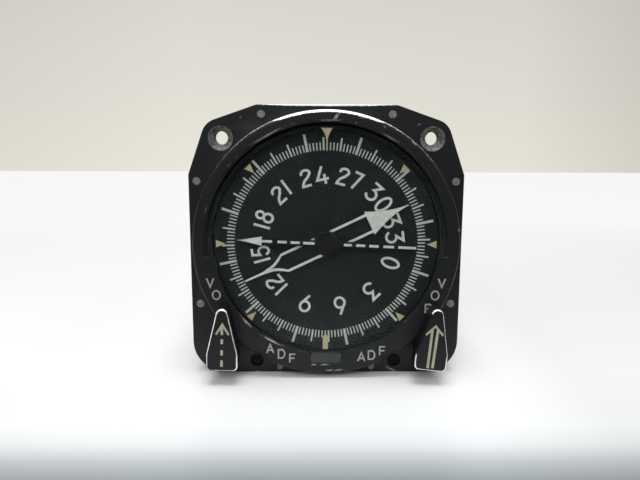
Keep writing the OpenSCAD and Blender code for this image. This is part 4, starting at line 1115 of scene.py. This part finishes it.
# %% [markdown]
# ## Screws
# The case, its rear cover, the gear covers and the connector are held by small cross-headed screws. The
# CAD has their plain heads and shanks. One tree makes a flat head with a cross cut into it, on a shank,
# and puts it on every point that it is given, turned by a random amount as a fitter leaves them.

# %% Tree for cross-headed screws: head and shank
screws, given = new_tree("cross_headed_screws", Head=1.0, Height=1.0, Slot=1.0, Shank=1.0, Length=1.0,
                         Seed=1)
half_height = add(screws, "ShaderNodeMath", {0: given["Height"], 1: 0.5}, operation="MULTIPLY")
lift = add(screws, "ShaderNodeCombineXYZ", {"Z": half_height})
disc = add(screws, "GeometryNodeMeshCylinder", {
    "Vertices": 36, "Radius": given["Head"], "Depth": given["Height"]})
disc = add(screws, "GeometryNodeTransform", {"Geometry": disc, "Translation": lift})
shank_drop = add(screws, "ShaderNodeMath", {0: given["Length"], 1: -0.5}, operation="MULTIPLY")
drop = add(screws, "ShaderNodeCombineXYZ", {"Z": shank_drop})
shank_depth = add(screws, "ShaderNodeMath", {0: given["Length"], 1: half_height}, operation="ADD")
shank = add(screws, "GeometryNodeMeshCylinder", {
    "Vertices": 20, "Radius": given["Shank"], "Depth": shank_depth})
shank = add(screws, "GeometryNodeTransform", {"Geometry": shank, "Translation": drop})
whole = add(screws, "GeometryNodeMeshBoolean", {"Mesh 2": disc}, operation="UNION")
screws.links.new(shank.outputs[0], whole.inputs["Mesh 2"])
print("head and shank are one solid")

# %% [markdown]
# Two bars are cut out of the head for the cross. Each screw is then turned to face outward, and by a
# random angle about its own axis, with a fixed seed, so that every run gives the same screws.

# %% Cross and places
# The cutter of the cross is longer than the head by this factor
CUT_PAST = 1.25

long_cut = add(screws, "ShaderNodeMath", {0: given["Head"], 1: CUT_PAST}, operation="MULTIPLY")
for cut in ({"X": long_cut, "Y": given["Slot"]}, {"X": given["Slot"], "Y": long_cut}):
    cut["Z"] = half_height
    bar = add(screws, "ShaderNodeCombineXYZ", cut)
    bar = add(screws, "GeometryNodeMeshCube", {"Size": bar})
    raised = add(screws, "ShaderNodeCombineXYZ", {"Z": given["Height"]})
    bar = add(screws, "GeometryNodeTransform", {"Geometry": bar, "Translation": raised})
    whole = add(screws, "GeometryNodeMeshBoolean", {"Mesh 1": whole, "Mesh 2": bar}, operation="DIFFERENCE")
axis = add(screws, "GeometryNodeInputNamedAttribute", {"Name": "axis"}, data_type="FLOAT_VECTOR")
facing = add(screws, "FunctionNodeAlignRotationToVector", {"Vector": axis}, axis="Z")
chance = add(screws, "FunctionNodeRandomValue", {2: 0.0, 3: math.pi, "Seed": given["Seed"]},
             data_type="FLOAT")
spin = add(screws, "FunctionNodeAxisAngleToRotation", {"Axis": (0, 0, 1), "Angle": chance.outputs[1]})
facing = add(screws, "FunctionNodeRotateRotation", {0: facing, 1: spin}, rotation_space="LOCAL")
placed = add(screws, "GeometryNodeInstanceOnPoints", {
    "Points": given["Geometry"], "Instance": whole, "Rotation": facing})
close_tree(screws, given, placed)
print("cross-headed screws,", len(screws.nodes), "nodes")

# %% [markdown]
# A set of screws needs its points, the direction that each head faces, and five sizes. Where a screw
# stands is easiest to say by a radius and an angle, because the case and its cover are round.

# %% Screw steel and a set of screws
# Passivated steel is a pale, slightly blotchy grey, and its turned heads have a fine grain
screw_steel, tree, shader, mm = finish("passivated_steel", "#8E8F92", 0.35, metallic=1.0)
cloud(tree, shader, mm, 0.9, "#7B7C80", "#9A9B9E")
grain(tree, shader, mm, 0.2, 0.006, 0.5, 0.3)
# Blackened steel is oxidised and oiled, so behind the glass it hardly shines
black_steel, tree, shader, mm = finish("blackened_steel", "#121415", 0.5, Specular_IOR_Level=0.2)
cloud(tree, shader, mm, 0.9, "#0E1011", "#17191A")
grain(tree, shader, mm, 0.2, 0.004, 0.6, 0.45)


def screw_set(node, places, sizes, steel, body, slot):
    """Screws at the given points, each with its outward direction, standing for a CAD node."""
    values = {key: size * MM for key, size in zip(("Head", "Height", "Slot", "Shank", "Length"), sizes)}
    values["Seed"] = len(node)
    made = grown(node + "_slotted", screws, values, steel, body,
                 [front(*place) for place, outward in places], [outward for place, outward in places])
    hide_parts(node)


def spoke(radius, degrees, p):
    """A point on the case and its direction outward; degrees run anticlockwise from the right."""
    a = math.radians(degrees)
    return (radius * math.cos(a), radius * math.sin(a), p), (math.cos(a), 0, math.sin(a))


def at_ring(radius, degrees, p, outward):
    """The same point with a direction of its own."""
    return spoke(radius, degrees, p)[0], outward


print("two steels for screws")

# %% Screws
COVER_SCREW_RADIUS, COVER_FACE = 8.1, -12
cover_places = []
for side in (-1, 1):
    pivot_x, pivot_y = knob_pivot(side)
    for degrees in (0, -45, -90):
        a = math.radians(degrees)
        cover_places.append(((pivot_x + side * COVER_SCREW_RADIUS * math.cos(a),
                              pivot_y + COVER_SCREW_RADIUS * math.sin(a), COVER_FACE), BACKWARD))
STEEL_ON_HOUSING = (screw_steel, "housing", "steel")
BLACK_ON_CARD = (black_steel, "compass_card", "black_paint")
# Each set: its places by radius, angle and p, then the radius and height of its heads, the slot's width,
# the shank's radius and its length, all in mm, and its finish
SCREW_SETS = {
    "case_screws": ([spoke(38.6, a, -16) for a in (30, 90, 150, 210, 330)],
                    (2.1, 1.0, 0.5, 1.2, 3.0), STEEL_ON_HOUSING),
    "mechanism_screws": ([spoke(38.6, a, p) for p in (-43, -87) for a in (0, 120, 240)],
                         (2.1, 1.0, 0.5, 0.7, 5.0), STEEL_ON_HOUSING),
    "rear_cover_screws": ([at_ring(36.4, 30 + 60 * k, -128, BACKWARD) for k in range(6)],
                          (1.8, 1.2, 0.42, 1.0, 5.5), STEEL_ON_HOUSING),
    "connector_screws": ([at_ring(10 * math.sqrt(2), 45 + 90 * k, -130.5, BACKWARD) for k in range(4)],
                         (2.2, 1.2, 0.5, 1.2, 5.0), STEEL_ON_HOUSING),
    "card_screws": ([at_ring(5, a, CARD_FACE, FORWARD) for a in (30, 150, 270)],
                    (0.9, 0.28, 0.22, 0.5, 2.0), BLACK_ON_CARD),
    "gear_cover_screws": (cover_places, (1.0, 0.7, 0.26, 0.6, 4.0), STEEL_ON_HOUSING),
}
for node, (places, sizes, paint) in SCREW_SETS.items():
    screw_set(node, places, sizes, *paint)

# %% [markdown]
# ## Cover glass
# Flat soda-lime glass, two millimetres thick, with an anti-reflection coating. Light has to reach the
# dial through it, so the shader lets shadow rays pass as if nothing were there, and everything else
# refracts and reflects. Bare glass has an IOR of 1.5 and reflects four percent; two coating layers bring
# that down to 0.7 percent, which is what an IOR of 1.18 gives.

# %% Glass
cover_glass, tree, shader, mm = finish("coated_flat_glass", "#FDFEFE", 0.02, IOR=1.18,
                                       Transmission_Weight=1.0)
through = add(tree, "ShaderNodeBsdfTransparent", {"Color": linear("#F6F8F7")})
rays = add(tree, "ShaderNodeLightPath")
mixed = add(tree, "ShaderNodeMixShader", {0: rays.outputs["Is Shadow Ray"], 1: shader, 2: through})
tree.links.new(mixed.outputs[0], tree.nodes["Material Output"].inputs["Surface"])
print("glass")

# %% [markdown]
# ## Finishes of the other parts
# Every remaining CAD part keeps its own mesh and takes a finish: painted sheet for the case, moulded
# plastics, machined aluminium, brass gears, steel shafts and a lacquered board. Each one has the grain
# that its making leaves, at the size that it really has.

# %% Painted parts
def plain(name, size, depth, dull, shiny, *colours, metallic=0.0, spread=4.0, gloss=0.5):
    """A finish with clouds of colour, spread mm wide, and grain of one size and depth in mm."""
    made, tree, shader, mm = finish(name, colours[0], dull, metallic, Specular_IOR_Level=gloss)
    cloud(tree, shader, mm, spread, *colours)
    grain(tree, shader, mm, size, depth, dull, shiny)
    return made


# Sprayed and baked enamel on steel sheet: a soft sheen over a fine orange peel
case_paint = plain("satin_black_enamel_sheet", 0.55, 0.02, 0.5, 0.36, "#191B1D", "#202325", spread=9)
# Matt dial paint takes the light without a highlight, so that the figures stay readable
dial_paint = plain("matt_black_dial_paint", 0.3, 0.0004, 0.8, 0.68, "#151818", "#1A1D1D",
                   spread=6, gloss=0.1)
# The mask round the card has the same matt paint; its lighter grey is painted light
# that lifts the shade it lies in
mask_paint = plain("matt_black_mask_paint", 0.3, 0.0004, 0.85, 0.72, "#2A2E30", "#303436",
                   spread=6, gloss=0.1)
# The wall of the window is a dull enamel; its dark grey is painted light that lifts the shade it lies in
spacer_paint = plain("spacer_enamel_lightened_as_painted_light", 0.3, 0.004, 0.8, 0.65, "#303435", "#383C3D",
                     spread=5, gloss=0.2)
# Flush rivets that are rubbed through their paint: grey metal with dark remains
pin_metal = plain("rubbed_rivet_metal", 0.25, 0.02, 0.6, 0.4, "#4E4C4B", "#7A7775", "#989490",
                  metallic=0.35, spread=0.7)
# Brushed grey enamel on the small cover of the dial lamp
lamp_cover_paint = plain("grey_enamel_lamp_cover", 0.25, 0.008, 0.6, 0.45, "#23272A", "#2D3134", spread=1.5)
# The pointer's black is a shade deeper than the card's
pointer_black_paint = plain("matt_black_pointer_paint", 0.2, 0.004, 0.7, 0.55, "#0D0F10", "#131516",
                            spread=3, gloss=0.1)
print("seven painted finishes")

# %% [markdown]
# Moulded and dipped parts show how they were made too: rubber is dull, phenolic and the connector's
# insert are smooth from the mould, a lacquered board is glossy, and dipped parts have a drop's thick skin.

# %% Moulded, dipped and lacquered parts
gasket_rubber = plain("moulded_black_rubber", 0.3, 0.01, 0.85, 0.7, "#101112", "#18191A", spread=3)
lamp_glass_finish = plain("clear_lamp_bulb_glass", 0.4, 0.004, 0.12, 0.05, "#C9C2A8", "#D6D0B8", spread=1)
switch_plastic = plain("moulded_black_phenolic", 0.4, 0.01, 0.5, 0.35, "#17181A", "#202124", spread=3)
insert_plastic = plain("moulded_green_insert", 0.4, 0.01, 0.55, 0.4, "#2C4A3B", "#37594A", spread=3)
board_lacquer = plain("lacquered_green_circuit_board", 0.5, 0.01, 0.4, 0.22, "#24492E", "#2F5A3A", spread=5)
part_coating = plain("dipped_tan_component_coating", 0.5, 0.03, 0.5, 0.35, "#8C6E45", "#A1835A", spread=3)
wire_sleeve = plain("varnished_wire_sleeve", 0.6, 0.04, 0.6, 0.45, "#A59C86", "#BDB49D", spread=2)
print("seven moulded, dipped and lacquered finishes")

# %% [markdown]
# The metals differ in colour first, and then in the size of the marks that the tool left: turning leaves
# the finest, grinding the smoothest and casting the coarsest. A chromate bath turns aluminium olive.

# %% Metals
aluminium = plain("machined_aluminium", 0.12, 0.006, 0.42, 0.26, "#9FA1A3", "#B3B5B6", metallic=1.0)
cast_grey = plain("clear_anodised_synchro_body", 0.3, 0.006, 0.45, 0.32, "#8F9193", "#A2A4A6", metallic=0.8)
brass = plain("cut_brass", 0.15, 0.006, 0.4, 0.24, "#A8823C", "#BF994F", metallic=1.0)
gold = plain("gold_plated_brass", 0.2, 0.003, 0.3, 0.18, "#C9A052", "#D9B36A", metallic=1.0)
ground_steel = plain("ground_steel", 0.1, 0.004, 0.36, 0.22, "#8A8C90", "#A1A3A6", metallic=1.0)
shell_metal = plain("olive_chromated_aluminium", 0.3, 0.006, 0.5, 0.36, "#4E4F42", "#606152",
                    metallic=0.7, spread=5)
print("six metals")

# %% [markdown]
# ## Connector thread
# The barrel of the connector at the back carries the screw thread of its cable's coupling nut. The CAD
# has the barrel plain, at the thread's outer size. Here the barrel is turned down to the thread's root,
# and a Geometry Nodes tree winds one triangular ridge around it, so crest and pitch stay real sizes.

# %% Barrel of the connector
ROOT, CREST, PITCH, THREAD_START, THREAD_LENGTH = 10.6, 11.08, 1.4, -132.6, 8.6
# Two cuts make the short step between the flange and the barrel, and the barrel lies behind the third
STEP_CUTS, BARREL_BEHIND = (-131.5, -131.8), -131.7

bm = merged_copy("connector_shell")
for p in STEP_CUTS:
    bmesh.ops.bisect_plane(bm, geom=bm.verts[:] + bm.edges[:] + bm.faces[:], plane_co=front(0, 0, p),
                           plane_no=BACKWARD)
for corner in bm.verts:
    radius = math.hypot(corner.co.x, corner.co.z)
    if corner.co.y > -BARREL_BEHIND * MM and radius > ROOT * MM:
        corner.co.x, corner.co.z = corner.co.x * ROOT * MM / radius, corner.co.z * ROOT * MM / radius
for face in bm.faces:
    face.smooth = True
mesh = with_weighted_normals(mesh_of(bm, "connector_turned"))
barrel = piece_from("connector_turned", mesh, shell_metal, "housing")
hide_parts("connector_shell")

# %% Tree for a screw thread
thread, given = new_tree("screw_thread", Radius=1.0, Ridge=1.0, Turns=1.0, Length=1.0)
spiral = add(thread, "GeometryNodeCurveSpiral", {
    "Resolution": 32, "Rotations": given["Turns"], "Start Radius": given["Radius"],
    "End Radius": given["Radius"], "Height": given["Length"]})
upright = add(thread, "GeometryNodeSetCurveNormal", {"Curve": spiral}, mode="Z_UP")
ridge = add(thread, "GeometryNodeCurvePrimitiveCircle", {"Resolution": 3, "Radius": given["Ridge"]})
wound = add(thread, "GeometryNodeCurveToMesh", {
    "Curve": upright, "Profile Curve": ridge, "Fill Caps": True})
placed = add(thread, "GeometryNodeInstanceOnPoints", {
    "Points": given["Geometry"], "Instance": wound, "Rotation": (-math.pi / 2, 0, 0)})
close_tree(thread, given, placed)

# The ridge's profile is a triangle, whose tip stands out past the root by its radius times this
TIP_REACH = 1.4
ridge_radius = (CREST - ROOT) / TIP_REACH
made = grown("connector_thread", thread, {
    "Radius": (CREST - ridge_radius) * MM, "Ridge": ridge_radius * MM, "Turns": THREAD_LENGTH / PITCH,
    "Length": THREAD_LENGTH * MM}, shell_metal, "housing", [front(0, 0, THREAD_START)])
reach = [math.hypot(v.co.x, v.co.z) / MM for v in made.data.vertices]
print("thread radius from", round(min(reach), 2), "to", round(max(reach), 2), "mm")

# %% [markdown]
# ## Double pointer
# Its white enamel has mellowed to a light grey, and its hub is painted black, like the cap over it. One
# material does both: outside a radius it is white, and inside it is black.

# %% Enamel of the double pointer
HUB_RADIUS = 3.92
# The black runs a little further under the single pointer's tail: the middle of a round patch, and its
# radius, in mm
PATCH_X, PATCH_Y, PATCH_RADIUS = 4.3, -1.5, 1.5

double_enamel, tree, shader, mm = finish("white_enamel_with_black_hub", "#A8ABA9", 0.5)
white = cloud(tree, shader, mm, 1.2, "#A0A39F", "#B3B6B0")
grain(tree, shader, mm, 0.2, 0.006, 0.55, 0.4)
flat = add(tree, "ShaderNodeVectorMath", {0: mm, 1: (1, 0, 1)}, operation="MULTIPLY")
away = add(tree, "ShaderNodeVectorMath", {0: flat}, operation="LENGTH").outputs["Value"]
outside = add(tree, "ShaderNodeMath", {0: away, 1: HUB_RADIUS}, operation="GREATER_THAN")
beside = add(tree, "ShaderNodeVectorMath", {0: flat, 1: (PATCH_X, 0, PATCH_Y)}, operation="DISTANCE")
beside = add(tree, "ShaderNodeMath", {0: beside.outputs["Value"], 1: PATCH_RADIUS}, operation="GREATER_THAN")
outside = add(tree, "ShaderNodeMath", {0: outside, 1: beside}, operation="MINIMUM")
hub = add(tree, "ShaderNodeMix", {
    "Factor": outside, 6: linear("#0E1011"), 7: white}, data_type="RGBA")
tree.links.new(hub.outputs[2], shader.inputs["Base Color"])
print("white outside a radius of", HUB_RADIUS, "mm")

# %% [markdown]
# The tail of the double pointer narrows to a point. The CAD sheet ends in a plain bar, so a copy of it
# has its tail drawn in towards the middle line, and stands for it.

# %% Tapered tail of the double pointer
DOUBLE_BEARING = math.radians(64.4)
# The share of its width that the tail keeps, at distances from the hub in mm
TAIL_SHARES = ((19.6, 1.0), (21.2, 0.64), (27.4, 0.36))
# A corner that lies this much past a distance, in mm, still counts to the stretch before it. One on the
# border of two stretches can be drawn in by both, which narrows the tail there by 0.15 mm on one side
SLACK = 0.01

bm = merged_copy("double_pointer")
forward = Vector((math.sin(DOUBLE_BEARING), 0, math.cos(DOUBLE_BEARING)))
bmesh.ops.bisect_plane(bm, geom=bm.verts[:] + bm.edges[:] + bm.faces[:],
                       plane_co=forward * -TAIL_SHARES[1][0] * MM, plane_no=forward)
for corner in bm.verts:
    along = corner.co.dot(forward)
    middle = forward * along + Vector((0, corner.co.y, 0))
    for (near, wide), (far, narrow) in zip(TAIL_SHARES, TAIL_SHARES[1:]):
        if near < -along / MM <= far + SLACK:
            share = wide + (narrow - wide) * (-along / MM - near) / (far - near)
            corner.co = middle + (corner.co - middle) * share
pointer = piece_from("double_pointer_sheet", mesh_of(bm, "double_pointer_sheet"), double_enamel,
                     "double_pointer")
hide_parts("double_pointer")

# %% [markdown]
# ## Giving each CAD part its finish
# The parts that no piece above stands for keep their CAD meshes, and their material slots take the
# finishes. A table of finishes and parts shows at once which part has which.

# %% Finishes of the CAD parts
FINISHES = {
    case_paint: ["case_can", "rear_cover", "gear_covers"],
    dial_paint: ["compass_card"],
    mask_paint: ["dial_mask"],
    spacer_paint: ["glass_spacer", "glass_gasket"],
    gasket_rubber: ["connector_gasket"],
    pin_metal: ["flange_pins"],
    lamp_cover_paint: ["lamp_cover"],
    lamp_glass_finish: ["lamp"],
    switch_plastic: ["selector_switches"],
    insert_plastic: ["connector_insert"],
    board_lacquer: ["amplifier_board"],
    part_coating: ["amplifier_parts"],
    wire_sleeve: ["wiring_loom"],
    pointer_black_paint: ["single_pointer", "pointer_cap"],
    aluminium: ["front_plate", "middle_plate", "rear_plate", "plate_posts", "card_hub", "board_standoffs"],
    cast_grey: ["heading_synchro", "pointer_synchros"],
    brass: ["knob_bushings", "lamp_holder", "card_bearing", "pointer_bearing", "card_gear",
            "double_pointer_gear", "single_pointer_gear", "heading_rotor", "double_rotor", "single_rotor",
            "left_switch_rotor", "right_switch_rotor"],
    gold: ["connector_pins", "synchro_terminals"],
    ground_steel: ["plate_screws", "synchro_clamps", "double_pointer_tube", "single_pointer_shaft",
                   "left_knob_shaft", "right_knob_shaft", "left_set_screw", "right_set_screw"],
    cover_glass: ["cover_glass"],
}
for material, names in FINISHES.items():
    for name in names:
        for holder in nodes[name].material_slots:
            holder.material = material
print(sum(len(names) for names in FINISHES.values()), "CAD parts have a finish")
